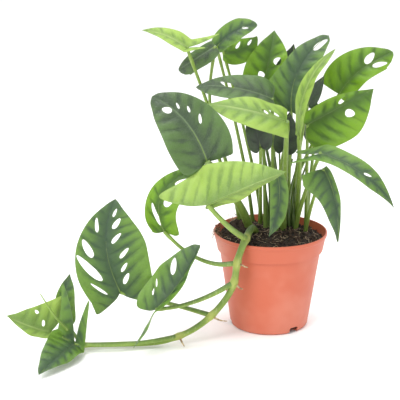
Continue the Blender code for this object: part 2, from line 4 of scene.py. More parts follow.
import bpy
import numpy as np
from mathutils import Euler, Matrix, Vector, noise


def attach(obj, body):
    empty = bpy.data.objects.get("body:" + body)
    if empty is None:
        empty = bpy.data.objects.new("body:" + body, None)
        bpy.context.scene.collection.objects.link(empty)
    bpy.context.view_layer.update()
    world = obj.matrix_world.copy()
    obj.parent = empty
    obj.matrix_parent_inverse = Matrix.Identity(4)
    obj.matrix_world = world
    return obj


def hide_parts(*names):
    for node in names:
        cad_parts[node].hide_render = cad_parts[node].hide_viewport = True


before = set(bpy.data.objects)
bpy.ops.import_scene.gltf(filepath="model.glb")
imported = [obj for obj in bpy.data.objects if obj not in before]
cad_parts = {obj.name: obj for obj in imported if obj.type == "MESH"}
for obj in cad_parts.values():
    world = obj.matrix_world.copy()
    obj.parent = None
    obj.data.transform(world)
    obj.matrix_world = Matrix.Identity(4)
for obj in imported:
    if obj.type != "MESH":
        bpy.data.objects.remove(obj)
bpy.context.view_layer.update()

mm = 0.001
floorClearance = 0.2 * mm
scene = bpy.context.scene
random.seed(11)


# small helpers for working on one piece at a time
def pick(*pieces):
    bpy.ops.object.select_all(action="DESELECT")
    for piece in pieces:
        piece.select_set(True)
    bpy.context.view_layer.objects.active = pieces[0]


def settle(piece):
    # the place goes into the mesh, so the object sits at the origin
    pick(piece)
    bpy.ops.object.transform_apply(location=True, rotation=True, scale=True)


def finishModifiers(piece):
    pick(piece)
    for modifier in list(piece.modifiers):
        bpy.ops.object.modifier_apply(modifier=modifier.name)


def addPiece(piece, slotName, *nodes):
    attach(piece, "root")
    if nodes:
        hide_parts(*nodes)


def smoothPath(points, steps):
    # a smooth run of places through the given ones
    points = [Vector(p) for p in points]
    ends = [2 * points[0] - points[1], *points, 2 * points[-1] - points[-2]]
    path = []
    for a, b, c, d in zip(ends, ends[1:], ends[2:], ends[3:]):
        for step in range(steps):
            u = step / steps
            path.append(0.5 * (2 * b + (c - a) * u + (2 * a - 5 * b + 4 * c - d) * u * u
                               + (3 * b - a - 3 * c + d) * u ** 3))
    path.append(points[-1])
    return path


def tubeCurve(name, points, radii, roundness=2):
    data = bpy.data.curves.new(name, "CURVE")
    data.dimensions = "3D"
    data.bevel_depth = 1.0
    data.bevel_resolution = roundness
    data.use_fill_caps = True
    spline = data.splines.new("POLY")
    spline.points.add(len(points) - 1)
    for knot, place, radius in zip(spline.points, points, radii):
        knot.co = (*place, 1)
        knot.radius = radius
    spline.use_smooth = True
    tube = bpy.data.objects.new(name, data)
    scene.collection.objects.link(tube)
    pick(tube)
    bpy.ops.object.convert(target="MESH")
    return bpy.context.view_layer.objects.active


def liftOffFloor(path, radii):
    for point, radius in zip(path, radii):
        point.z = max(point.z, radius + floorClearance)


def joinPieces(pieces, name):
    pick(*pieces)
    if len(pieces) > 1:
        bpy.ops.object.join()
    whole = bpy.context.view_layer.objects.active
    whole.name = name
    whole.data.name = name
    return whole


def setAttribute(mesh, name, values):
    layer = mesh.attributes.get(name) or mesh.attributes.new(name, "FLOAT", "POINT")
    layer.data.foreach_set("value", np.asarray(values, dtype=np.float32))


def meshPoints(mesh):
    flat = np.empty(len(mesh.vertices) * 3)
    mesh.vertices.foreach_get("co", flat)
    return flat.reshape(-1, 3)


def setPoints(mesh, points):
    mesh.vertices.foreach_set("co", np.ascontiguousarray(points, dtype=np.float32).ravel())
    mesh.update()


# shader maths written as plain expressions
class Sock:
    def __init__(self, tree, out):
        self.tree = tree
        self.out = out

    def calc(self, operation, *values):
        step = self.tree.nodes.new("ShaderNodeMath")
        step.operation = operation
        for socket, value in zip(step.inputs, values):
            plug(self.tree, socket, value)
        return Sock(self.tree, step.outputs[0])

    def __add__(self, other):
        return self.calc("ADD", self, other)

    def __radd__(self, other):
        return self.calc("ADD", other, self)

    def __sub__(self, other):
        return self.calc("SUBTRACT", self, other)

    def __rsub__(self, other):
        return self.calc("SUBTRACT", other, self)

    def __mul__(self, other):
        return self.calc("MULTIPLY", self, other)

    def __rmul__(self, other):
        return self.calc("MULTIPLY", other, self)

    def size(self):
        return self.calc("ABSOLUTE", self)

    def nearest(self):
        # how far from the nearest whole number, 0 to 0.5
        return self.calc("PINGPONG", self, 0.5)

    def most(self, other):
        return self.calc("MAXIMUM", self, other)

    def least(self, other):
        return self.calc("MINIMUM", self, other)


def plug(tree, socket, value):
    if isinstance(value, Sock):
        tree.links.new(value.out, socket)
    else:
        socket.default_value = value


class Finish:
    def __init__(self, name):
        self.material = bpy.data.materials.new(name)
        self.material.use_nodes = True
        self.tree = self.material.node_tree
        self.shader = self.tree.nodes["Principled BSDF"]
        self.end = self.tree.nodes["Material Output"]

    def node(self, kind, settings=None, inputs=None, output=0):
        made = self.tree.nodes.new(kind)
        for key, value in (settings or {}).items():
            setattr(made, key, value)
        for key, value in (inputs or {}).items():
            plug(self.tree, made.inputs[key], value)
        return Sock(self.tree, made.outputs[output])

    def place(self, scale=(1, 1, 1)):
        spot = self.node("ShaderNodeTexCoord", output="Object")
        if scale == (1, 1, 1):
            return spot
        return self.node("ShaderNodeMapping", inputs={"Vector": spot, "Scale": scale})

    def grain(self, scale, detail=2.0, roughness=0.5, where=None):
        return self.node("ShaderNodeTexNoise", inputs={
            "Vector": where or self.place(), "Scale": scale, "Detail": detail,
            "Roughness": roughness}, output="Fac")

    def ease(self, value, low, high, start=0.0, stop=1.0):
        return self.node("ShaderNodeMapRange", {"interpolation_type": "SMOOTHSTEP"}, {
            "Value": value, "From Min": low, "From Max": high, "To Min": start, "To Max": stop})

    def blend(self, share, first, second, mode="MIX"):
        made = self.tree.nodes.new("ShaderNodeMix")
        made.data_type = "RGBA"
        made.blend_type = mode
        plug(self.tree, made.inputs[0], share)
        for socket, value in ((made.inputs[6], first), (made.inputs[7], second)):
            plug(self.tree, socket, value if isinstance(value, Sock) else (*value, 1))
        return Sock(self.tree, made.outputs[2])

    def attribute(self, name):
        return self.node("ShaderNodeAttribute", {"attribute_name": name}, output="Fac")

    def bump(self, height, distance, strength=1.0):
        return self.node("ShaderNodeBump", inputs={
            "Height": height, "Distance": distance, "Strength": strength})

    def paint(self, **values):
        for key, value in values.items():
            socket = self.shader.inputs[key.replace("_", " ")]
            if not isinstance(value, Sock) and isinstance(value, tuple) and len(value) == 3:
                value = (*value, 1)
            plug(self.tree, socket, value)

    def letLightThrough(self, share, colour):
        thin = self.node("ShaderNodeBsdfTranslucent", inputs={"Color": (*colour, 1)})
        both = self.node("ShaderNodeMixShader", inputs={
            0: share, 1: Sock(self.tree, self.shader.outputs[0]), 2: thin})
        self.tree.links.new(both.out, self.end.inputs["Surface"])


# camera, lights and floor
viewpoint = {
    "place": (-0.075, -1.2, 0.48),
    "lookAt": (-0.075, 0.0, 0.137),
    "lens": 106,
    "sensor": 36,
}
studio = {
    "skyStrength": 1.0,
    "skyColour": (1.0, 1.0, 1.0),
    "keyPlace": (-0.9, -1.1, 1.6),
    "keySize": 1.1,
    "keyPower": 28,
    "topPlace": (0.3, 0.4, 1.9),
    "topSize": 1.4,
    "topPower": 18,
    "floorColour": (0.97, 0.97, 0.97),
    "floorSize": 14,
}


def aim(thing, target):
    thing.rotation_euler = (Vector(target) - thing.location).to_track_quat("-Z", "Y").to_euler()


def setStudio():
    bpy.ops.object.camera_add(location=viewpoint["place"])
    camera = bpy.context.view_layer.objects.active
    aim(camera, viewpoint["lookAt"])
    camera.data.lens = viewpoint["lens"]
    camera.data.sensor_width = viewpoint["sensor"]
    scene.camera = camera

    sky = bpy.data.worlds.new("softRoom")
    sky.use_nodes = True
    background = sky.node_tree.nodes["Background"]
    background.inputs["Color"].default_value = (*studio["skyColour"], 1)
    background.inputs["Strength"].default_value = studio["skyStrength"]
    scene.world = sky
    scene.view_settings.view_transform = "Standard"

    for name in ("key", "top"):
        bpy.ops.object.light_add(type="AREA", location=studio[name + "Place"])
        lamp = bpy.context.view_layer.objects.active
        lamp.name = name + "Light"
        lamp.data.size = studio[name + "Size"]
        lamp.data.energy = studio[name + "Power"]
        aim(lamp, (0, 0, 0.12))

    bpy.ops.mesh.primitive_plane_add(size=studio["floorSize"], location=(0, 0, -0.0005))
    floor = bpy.context.view_layer.objects.active
    floor.name = "floor"
    look = Finish("paleFloor")
    look.paint(Base_Color=studio["floorColour"], Roughness=0.6)
    floor.data.materials.append(look.material)
    settle(floor)


setStudio()
print("studio ready")


# the nursery pot, turned from one profile
pot = {
    "height": 104 * mm,
    "topRadius": 60.5 * mm,
    "baseRadius": 41.5 * mm,
    "wall": 1.6 * mm,
    "collarHeight": 20 * mm,
    "collarTaper": 4 * mm,
    "collarStep": 2.6 * mm,
    "turns": 160,
    "notches": 3,
    "firstNotch": -54,
    "notchWidth": 11 * mm,
    "notchHeight": 6 * mm,
    "notchDepth": 7 * mm,
    "floorHoles": 6,
    "holeRadius": 3.5 * mm,
    "holeCircle": 24 * mm,
    "colour": (0.54, 0.125, 0.064),
    "paleColour": (0.60, 0.19, 0.12),
    "footColour": (0.62, 0.2, 0.13),
}


def potFinish():
    look = Finish("terracottaPlastic")
    cloudy = look.grain(14, 3, 0.6)
    fine = look.grain(900, 2, 0.6)
    # faint rings left by the mould
    height = look.node("ShaderNodeSeparateXYZ", inputs={"Vector": look.place()}, output=2)
    rings = (height * 420 + cloudy * 1.2).nearest()
    colour = look.blend(look.ease(cloudy, 0.42, 0.72), pot["colour"], pot["paleColour"])
    colour = look.blend(look.ease(height, 0.0, 0.012, 0.35, 0.0), colour, pot["footColour"])
    look.paint(Base_Color=colour, Roughness=0.40 + cloudy * 0.12, Normal=look.bump(
        fine * 0.5 + rings * 0.3, 0.00012))
    look.shader.inputs["Specular IOR Level"].default_value = 0.42
    return look.material


def makePot():
    top, wall = pot["topRadius"], pot["wall"]
    collarBottom = pot["height"] - pot["collarHeight"]
    collarRadius = top - pot["collarTaper"]
    bodyRadius = collarRadius - pot["collarStep"]
    base, high = pot["baseRadius"], pot["height"]
    lip = 0.5 * wall
    slope = (bodyRadius - base) / collarBottom
    profile = [
        (0, 0), (base - 6 * mm, 0), (base - 2 * mm, 0), (base - 0.9 * mm, 0.25 * mm),
        (base - 0.2 * mm, 1.0 * mm), (base + slope * 2.2 * mm, 2.2 * mm), (base + slope * 30 * mm, 30 * mm),
        (bodyRadius - 0.1 * mm, collarBottom - 1.2 * mm), (bodyRadius, collarBottom - 0.3 * mm),
        (bodyRadius + 0.3 * mm, collarBottom), (collarRadius - 0.9 * mm, collarBottom),
        (collarRadius - 0.2 * mm, collarBottom + 0.25 * mm), (collarRadius, collarBottom + 1.0 * mm),
        (top - 1.3 * mm, high - 5.2 * mm), (top - 1.0 * mm, high - 4.4 * mm),
        (top - 0.25 * mm, high - 3.9 * mm),
        (top, high - 3.3 * mm), (top, high - 1.0 * mm), (top - 0.25 * mm, high - 0.25 * mm),
        (top - lip, high), (top - wall + 0.2 * mm, high - 0.25 * mm), (top - wall, high - 1.0 * mm),
        (top - 1.4 * wall, high - 3.4 * mm), (collarRadius - wall, collarBottom + wall + 2.6 * mm),
        (collarRadius - wall - 0.8 * mm, collarBottom + wall + 1.4 * mm),
        (bodyRadius - wall, collarBottom + wall - 0.2 * mm), (base - wall + 0.6 * mm, 3.6 * mm),
        (base - wall - 0.8 * mm, 1.9 * mm), (base - wall - 2 * mm, wall), (0, wall),
    ]
    mesh = bpy.data.meshes.new("pot_wall")
    mesh.from_pydata([(r, 0, z) for r, z in profile], [(i, i + 1) for i in range(len(profile) - 1)], [])
    wallPiece = bpy.data.objects.new("pot_wall", mesh)
    scene.collection.objects.link(wallPiece)
    pick(wallPiece)
    bpy.ops.object.mode_set(mode="EDIT")
    bpy.ops.mesh.select_all(action="SELECT")
    bpy.ops.mesh.spin(steps=pot["turns"], angle=2 * math.pi, center=(0, 0, 0), axis=(0, 0, 1))
    bpy.ops.mesh.select_all(action="SELECT")
    bpy.ops.mesh.remove_doubles(threshold=0.00002)
    bpy.ops.mesh.normals_make_consistent(inside=False)
    bpy.ops.object.mode_set(mode="OBJECT")

    cutters = []
    for number in range(pot["notches"]):
        angle = math.radians(pot["firstNotch"] + 360 * number / pot["notches"])
        bpy.ops.mesh.primitive_cube_add(size=1, location=(
            math.cos(angle) * base, math.sin(angle) * base, 0), rotation=(0, 0, angle))
        cutter = bpy.context.view_layer.objects.active
        cutter.scale = (2 * pot["notchDepth"], pot["notchWidth"], 2 * pot["notchHeight"])
        settle(cutter)
        soften = cutter.modifiers.new("corners", "BEVEL")
        soften.width = 1.6 * mm
        soften.segments = 4
        finishModifiers(cutter)
        cutters.append(cutter)
    for number in range(pot["floorHoles"]):
        angle = 2 * math.pi * number / pot["floorHoles"]
        bpy.ops.mesh.primitive_cylinder_add(vertices=28, radius=pot["holeRadius"], depth=8 * mm, location=(
            math.cos(angle) * pot["holeCircle"], math.sin(angle) * pot["holeCircle"], 0))
        cutters.append(bpy.context.view_layer.objects.active)
        settle(cutters[-1])
    drainage = joinPieces(cutters, "drainage")
    cut = wallPiece.modifiers.new("drainage", "BOOLEAN")
    cut.object = drainage
    finishModifiers(wallPiece)
    bpy.data.objects.remove(drainage)
    pick(wallPiece)
    bpy.ops.object.shade_smooth_by_angle(angle=math.radians(34))
    wallPiece.data.materials.append(potFinish())
    addPiece(wallPiece, "pot_plastic", "pot")


makePot()
print("pot ready")


# every leaf: where its stalk starts and ends, the way from there to its tip, and how its two sides are shaped
def side(width, fold=0, curl=0, lobe=0.12, belly=0.28, heelWidth=0.42, fullness=1.0, bluntness=0.0,
         holes=()):
    return dict(width=width, fold=fold, curl=curl, lobe=lobe, belly=belly, heelWidth=heelWidth,
                fullness=fullness, bluntness=bluntness, holes=holes)


def leaf(foot, top, tip, face, left, right, arch=(0, 0, 0), bow=(0, 0, 0), thick=2.2, heel=None):
    return dict(foot=foot, top=top, tip=tip, face=face, sides=(left, right), arch=arch, bow=bow,
                thick=thick, heel=heel)


# on the trailing stem: a foot is a numbered joint of the stem, heights are above the floor
vineLeaves = {
    "vine_large": leaf(
        foot=4, top=(-157, -55, 53), tip=(-3, -5, 102), face=(0.05, -1, 0.15),
        arch=(-12, -5, 5), bow=(0, 14, -4), thick=2.6,
        left=side(35, fold=8, curl=10, lobe=0.16, belly=0.24, heelWidth=0.7, bluntness=0.1,
                  holes=((0.02, 0.4, 0.7, 1.4), (0.15, 0.35, 0.95, 4), (0.38, 0.45, 0.85, 3.6),
                         (0.62, 0.35, 0.7, 1.8))),
        right=side(42, fold=8, curl=10, lobe=0.12, belly=0.45, heelWidth=0.5, bluntness=0.12,
                   holes=((0.08, 0.2, 0.42, 2), (0.2, 0.25, 0.45, 1.6), (0.34, 0.3, 0.55, 2),
                          (0.5, 0.15, 0.42, 2.2), (0.66, 0.2, 0.5, 2.6), (0.8, 0.2, 0.42, 1.4)))),
    "vine_folded": leaf(
        foot=3, top=(-120, -85, 46), tip=(45, 15, 64), face=(-0.5, -1, 0.2),
        arch=(3, -2, -3), bow=(0, 0, -6), thick=2.8, heel=(-23, -10, -34),
        left=side(27, curl=12, belly=0.45, heelWidth=0.6, bluntness=0.5,
                  holes=((0.12, 0.5, 0.8, 0.9), (0.24, 0.6, 0.8, 0.9), (0.5, 0.4, 0.85, 2.8))),
        right=side(18, fold=60, curl=10, lobe=0.48, belly=0.3, heelWidth=0.6)),
    "vine_end_left": leaf(
        foot=(-200, -79, 5), top=(-228, -70, 16), tip=(-42, -18, 24), face=(-0.1, -1, 0.3),
        arch=(2, 0, -3), thick=2,
        left=side(10, fold=-10, lobe=0.05),
        right=side(44, fold=10, curl=14, lobe=0.12, belly=0.2, heelWidth=0.6, fullness=0.8,
                   holes=((0.25, 0.1, 0.3, 1.8), (0.5, 0.55, 0.8, 1.5)))),
    "vine_end_back": leaf(
        foot=(-200, -73, 7), top=(-215, -58, 24), tip=(6, 2, 50), face=(-0.3, -1, 0.2),
        arch=(-4, 0, 0), thick=1.8,
        left=side(9, fold=10, curl=10), right=side(14, curl=20, belly=0.5)),
    "vine_end_front": leaf(
        foot=5, top=(-202, -89, 10), tip=(-28, -66, -3), face=(-0.1, -1, 0.5),
        arch=(4, 4, 4), bow=(0, -5, -2), thick=2.4, heel=(6, 6, 50),
        left=side(13, fold=8, lobe=0.5, belly=0.35, heelWidth=0.8),
        right=side(25, curl=16, lobe=0.5, belly=0.15, heelWidth=0.85, bluntness=0.3,
                   holes=((0.02, 0.3, 0.55, 2.6),))),
    "low_front": leaf(
        foot=1, top=(-67, -95, 159), tip=(76, -10, 36), face=(0.05, -1, 0.75),
        arch=(0, -6, 3), bow=(0, -12, 0), thick=3.2, heel=(-41, 0, -15),
        left=side(37, curl=20, lobe=0.46, belly=0.16, heelWidth=0.66, fullness=0.95),
        right=side(14, fold=-75, lobe=0.06)),
    "low_back": leaf(
        foot=2, top=(-112, -45, 116), tip=(50, 0, 72), face=(-0.3, -1, 0.2),
        arch=(-24, 0, 9), bow=(0, 0, -13), thick=2.6,
        left=side(16, curl=10, lobe=0.04, belly=0.15, fullness=0.9, holes=((0.06, 0.0, 0.5, 2.4),)),
        right=side(22, curl=16, lobe=0.02, belly=0.45,
                   holes=((0.32, 0.3, 0.62, 3.6), (0.62, 0.25, 0.6, 2.4)))),
}

# in the crown: a foot is a place on the soil, heights are above the soil
crownLeaves = {
    "dark_left": leaf(
        foot=(-20, 22), top=(-68, -80, 99), tip=(-54, 10, 63), face=(-0.1, -1, 0.25),
        arch=(6, -8, 9), thick=4.6,
        left=side(31, curl=16, lobe=0.04, belly=0.34, heelWidth=0.55, bluntness=0.45,
                  holes=((0.7, 0.1, 0.34, 3.2),)),
        right=side(32, curl=16, lobe=0.06, belly=0.24, heelWidth=0.7, bluntness=0.35,
                   holes=((0.38, 0.35, 0.55, 1.5), (0.55, 0.35, 0.5, 1.2), (0.66, 0.2, 0.36, 1.1)))),
    "pale_middle": leaf(
        foot=(15, 18), top=(11, -60, 135), tip=(-79, -10, 20), face=(0, -0.5, 1),
        arch=(0, -8, 4), thick=3.4,
        left=side(20, fold=-14, curl=-14, lobe=0.02, belly=0.35, heelWidth=0.9, bluntness=0.3),
        right=side(19, curl=24, lobe=0.02, belly=0.3, heelWidth=0.7,
                   holes=((0.1, 0.15, 0.45, 1.5), (0.24, 0.1, 0.3, 1.5)))),
    # the inner leaves fill the shaded middle of the crown; their very dark skin is painted shade
    "inner_dark": leaf(
        foot=(-9, 36), top=(-14, -45, 105), tip=(-11, -5, 40), face=(0, -1, 0.4),
        arch=(0, -3, 2), left=side(12, curl=16), right=side(14, curl=16)),
    "inner_middle": leaf(
        foot=(4, 38), top=(12, -14, 95), tip=(4, -12, 42), face=(0, -1, 0.5),
        left=side(12, curl=16), right=side(14, curl=16)),
    "inner_right": leaf(
        foot=(41, 30), top=(47, 20, 100), tip=(0, -5, 40), face=(0.1, -1, 0.3),
        left=side(13, curl=16), right=side(13, curl=16)),
    "upper_middle": leaf(
        foot=(4, 27), top=(-2, -30, 152), tip=(-77, -14, 15), face=(-0.1, -0.7, 1),
        arch=(0, 0, 5),
        left=side(19, curl=10, lobe=0.04, belly=0.62, heelWidth=0.5, bluntness=0.3),
        right=side(21, curl=16, lobe=0.03, belly=0.2, heelWidth=0.6, bluntness=0.1,
                   holes=((0.5, 0.0, 0.4, 3),))),
    "pale_top_left": leaf(
        foot=(-30, 30), top=(-88, -40, 205), tip=(-44, 0, 18), face=(0, -0.8, 1),
        arch=(2, 0, 3), heel=(28, 0, 6),
        left=side(8, curl=20, lobe=0.45, heelWidth=0.9), right=side(11, curl=20, lobe=0.62, heelWidth=0.9)),
    "hanging_top_left": leaf(
        foot=(-22, 38), top=(-60, -18, 203), tip=(-37, 0, -24), face=(-0.3, -1, 0.5),
        bow=(-22, 4, 0), left=side(12, curl=14, lobe=0.02, belly=0.75, heelWidth=0.3, bluntness=0.7),
        right=side(8, curl=24, lobe=0.02, belly=0.5, heelWidth=0.6, bluntness=0.4)),
    "grey_top_left": leaf(
        foot=(-16, 45), top=(-58, 0, 200), tip=(41, -5, 23), face=(0, -1, 0.4), arch=(-2, -2, 5), thick=2,
        left=side(11, curl=14, lobe=0.02, belly=0.6, bluntness=0.5),
        right=side(10, curl=10, lobe=0.02, belly=0.5, bluntness=0.4, holes=((0.66, 0.0, 0.3, 1.2),))),
    "bright_top_left": leaf(
        foot=(-6, 48), top=(-51, 20, 192), tip=(35, 0, 16), face=(0, -1, 0.3), arch=(2, 0, -7), thick=2,
        left=side(13, lobe=0.02, belly=0.45, holes=((0.36, 0.3, 0.75, 1.5), (0.7, 0.15, 0.5, 1.3))),
        right=side(13, lobe=0.02, belly=0.5, bluntness=0.4)),
    "tall_middle": leaf(
        foot=(-4, 22), top=(-10, 20, 148), tip=(12, 0, 66), face=(0, -1, 0.2), arch=(0, -8, 3),
        left=side(24, curl=20, lobe=0.03, belly=0.25, heelWidth=0.5, holes=((0.22, 0.1, 0.3, 3.4),)),
        right=side(20, curl=20, lobe=0.03, belly=0.5, heelWidth=0.4, holes=((0.46, 0.35, 0.6, 3.8),))),
    "tall_back": leaf(
        foot=(8, 45), top=(2, 40, 143), tip=(22, 0, 54), face=(0, -1, 0.2), arch=(6, 0, -2),
        left=side(15, curl=16, lobe=0.02, belly=0.5), right=side(10, curl=16, lobe=0.02)),
    "tall_right": leaf(
        foot=(21, 34), top=(19, -10, 134), tip=(36, 0, 79), face=(-0.3, -1, 0.4), arch=(-12, -4, 5),
        left=side(28, curl=18, lobe=0.02, belly=0.2, heelWidth=0.55, fullness=0.75, bluntness=0.35),
        right=side(21, curl=18, lobe=0.02, belly=0.35, heelWidth=0.5, bluntness=0.55,
                   holes=((0.78, 0.1, 0.5, 3),))),
    "edge_on_right": leaf(
        foot=(30, 38), top=(24, -50, 120), tip=(31, -15, 88), face=(-1, -0.3, 0.2), arch=(-10, -2, 5),
        bow=(2, 0, 0), thick=3, left=side(11, curl=20, lobe=0.04, belly=0.5, heelWidth=0.3),
        right=side(16, curl=20, lobe=0.04, belly=0.6, heelWidth=0.4, bluntness=0.3)),
    "small_right": leaf(
        foot=(24, 47), top=(34, -28, 144), tip=(16, 0, 31), face=(0, -1, 0.2), thick=2,
        left=side(8, lobe=0.03), right=side(7, lobe=0.03)),
    "high_right": leaf(
        foot=(14, 48), top=(71, 20, 147), tip=(53, -10, 46), face=(0.1, -0.9, 0.4), arch=(-5, 0, 4),
        left=side(26, curl=18, lobe=0.04, belly=0.3, heelWidth=0.7, bluntness=0.3,
                  holes=((0.6, 0.1, 0.5, 3.6),)),
        right=side(14, curl=20, lobe=0.02, belly=0.75, heelWidth=0.3, bluntness=0.5,
                   holes=((0.66, 0.3, 0.75, 2.6),))),
    "bright_right": leaf(
        foot=(40, 20), top=(34, -30, 125), tip=(65, -5, 38), face=(0.1, -1, 0.3),
        left=side(13, curl=10, lobe=0.05, belly=0.35, heelWidth=0.6, holes=((0.5, 0.3, 0.6, 1.8),)),
        right=side(34, curl=16, lobe=0.1, belly=0.45, heelWidth=0.4, holes=((0.52, 0.22, 0.45, 4),))),
    "drooping_right": leaf(
        foot=(28, 19), top=(45, -60, 103), tip=(73, -20, -51), face=(0.3, -0.9, 1), arch=(4, -10, 9),
        thick=2.6, heel=(-30, 0, -6),
        left=side(13, curl=20, lobe=0.34, belly=0.4, heelWidth=0.8, holes=((0.5, 0.1, 0.3, 1.3),)),
        right=side(12, curl=20, lobe=0.3, belly=0.35, heelWidth=0.8)),
    "hanging_right": leaf(
        foot=(38, 9), top=(49, -55, 85), tip=(17, -5, -77), face=(0.2, -1, 0.1), arch=(4, 0, 6),
        left=side(6, lobe=0.02),
        right=side(28, curl=20, lobe=0.05, belly=0.15, heelWidth=0.85, fullness=0.7)),
    "small_hanging": leaf(
        foot=(8, 10), top=(3, -50, 77), tip=(-8, -10, -62), face=(0, -1, 0.1), arch=(6, 2, 2), thick=1.6,
        left=side(9, curl=30, lobe=0.02, belly=0.65), right=side(10, curl=30, lobe=0.02, belly=0.35)),
}
leaves = {**vineLeaves, **crownLeaves}

# the trailing stem: its foot on the soil, then places above the floor, with True where a joint swells
vinePoints = (
    (-13, 14, 0, False),
    (-20, -14, 110, False),
    (-28, -53, 111, True),
    (-34, -59, 98, False),
    (-37, -60, 87, True),
    (-40, -60, 66, True),
    (-48, -61, 49, False),
    (-63, -63, 31, True),
    (-80, -66, 18, False),
    (-97, -68, 10, True),
    (-120, -71, 4.5, False),
    (-160, -75, 4, False),
    (-196, -77, 4, True),
)


holeSlant = 0.45     # a hole runs forward as it runs outward, as the side veins do
stalkLean = 1.25     # a crown stalk rises first and leans out later
stalkPlaces = 5
soilLevel = 100 * mm
rimAngle = math.radians(243.4)
rimCrossing = pot["topRadius"] * Vector((math.cos(rimAngle), math.sin(rimAngle), 0))
drawnCrossing = (-27, -54)


def onCircle(angle, away, height=0.0):
    return Vector((math.cos(angle) * away, math.sin(angle) * away, height))


def draped(x, y, height):
    return Vector((x - drawnCrossing[0], y - drawnCrossing[1], height)) * mm + rimCrossing


def crown(x, y, height):
    return Vector((x * mm, y * mm, soilLevel + height * mm))


def stalkRoute(spec):
    foot = spec["foot"]
    joints = [row[:3] for row in vinePoints if row[3]]
    if isinstance(foot, tuple) and len(foot) == 2:
        start, end, lean = crown(*foot, -4), crown(*spec["top"]), stalkLean
    else:
        start = draped(*(foot if isinstance(foot, tuple) else joints[foot - 1]))
        end, lean = draped(*spec["top"]), 1.0
    points = []
    for i in range(stalkPlaces):
        share = i / (stalkPlaces - 1)
        across = share ** lean
        point = start + (end - start) * Vector((across, across, share))
        points.append(point + 4 * share * (1 - share) * Vector(spec["bow"]) * mm)
    return points


# leaf skins: between the side veins the leaf is light, along them it is dark. The skins are lighter and
# darker copies of one leaf: partly the leaves' own greens, partly painted light and shade
leafSkins = {
    "deep": dict(light=(0.055, 0.115, 0.022), dark=(0.012, 0.030, 0.016), rib=(0.13, 0.20, 0.09),
                 mottle=(0.075, 0.16, 0.026), contrast=0.88, roughness=0.30, through=0.10,
                 back=(0.12, 0.20, 0.06)),
    # the grey skin's grey-green is partly painted sheen, the grey of a gloss that reflects the white room,
    # and partly the leaf's own green
    "grey": dict(light=(0.095, 0.20, 0.030), dark=(0.026, 0.062, 0.034), rib=(0.030, 0.068, 0.034),
                 mottle=(0.16, 0.31, 0.030), contrast=0.92, roughness=0.32, through=0.16,
                 back=(0.16, 0.26, 0.07)),
    "bright": dict(light=(0.16, 0.34, 0.008), dark=(0.030, 0.080, 0.010), rib=(0.060, 0.13, 0.02),
                   mottle=(0.22, 0.42, 0.008), contrast=0.92, roughness=0.32, through=0.26,
                   back=(0.20, 0.32, 0.05)),
    # the pale skin is partly the paler green of young leaves and partly painted light, for leaves that are
    # strongly lit
    "pale": dict(light=(0.30, 0.47, 0.075), dark=(0.095, 0.18, 0.040), rib=(0.42, 0.56, 0.17),
                 mottle=(0.38, 0.55, 0.09), contrast=0.78, roughness=0.34, through=0.24,
                 back=(0.30, 0.44, 0.11)),
    # a very dark copy of the leaf skin, painted shade for leaves that lie in the shade deep in the crown
    "paintedShade": dict(light=(0.022, 0.048, 0.014), dark=(0.005, 0.012, 0.007), rib=(0.03, 0.055, 0.024),
                  mottle=(0.03, 0.065, 0.016), contrast=0.85, roughness=0.34, through=0.03,
                  back=(0.035, 0.065, 0.022)),
}
skinOf = {
    "vine_large": "grey", "vine_folded": "grey", "vine_end_left": "pale", "vine_end_back": "grey",
    "vine_end_front": "grey", "low_front": "pale", "low_back": "bright", "dark_left": "deep",
    "pale_middle": "pale", "inner_dark": "paintedShade", "inner_middle": "paintedShade", "inner_right": "paintedShade",
    "upper_middle": "deep", "pale_top_left": "pale", "hanging_top_left": "deep", "grey_top_left": "grey",
    "bright_top_left": "bright", "tall_middle": "bright", "tall_back": "paintedShade", "tall_right": "grey",
    "edge_on_right": "pale", "small_right": "paintedShade", "high_right": "bright", "bright_right": "bright",
    "drooping_right": "grey", "hanging_right": "grey", "small_hanging": "grey",
}
lightLeaves = ("vine_end_left", "edge_on_right", "pale_middle", "pale_top_left", "tall_middle",
               "upper_middle", "small_hanging")
blade = {
    "thickness": 0.45 * mm,
    "cell": 2.2 * mm,          # size of the mesh cells on a blade
    "veinSpacing": 13 * mm,    # between side veins, along the midrib
    "veinSlant": 0.26,         # how far a side vein runs forward, as a share of the midrib
    "puff": 1.5 * mm,          # how high the leaf bulges between veins
    "groove": 0.5 * mm,
    "ripple": 2.2 * mm,
    "rimDroop": 0.7 * mm,
    "ribRadius": 0.75 * mm,
}


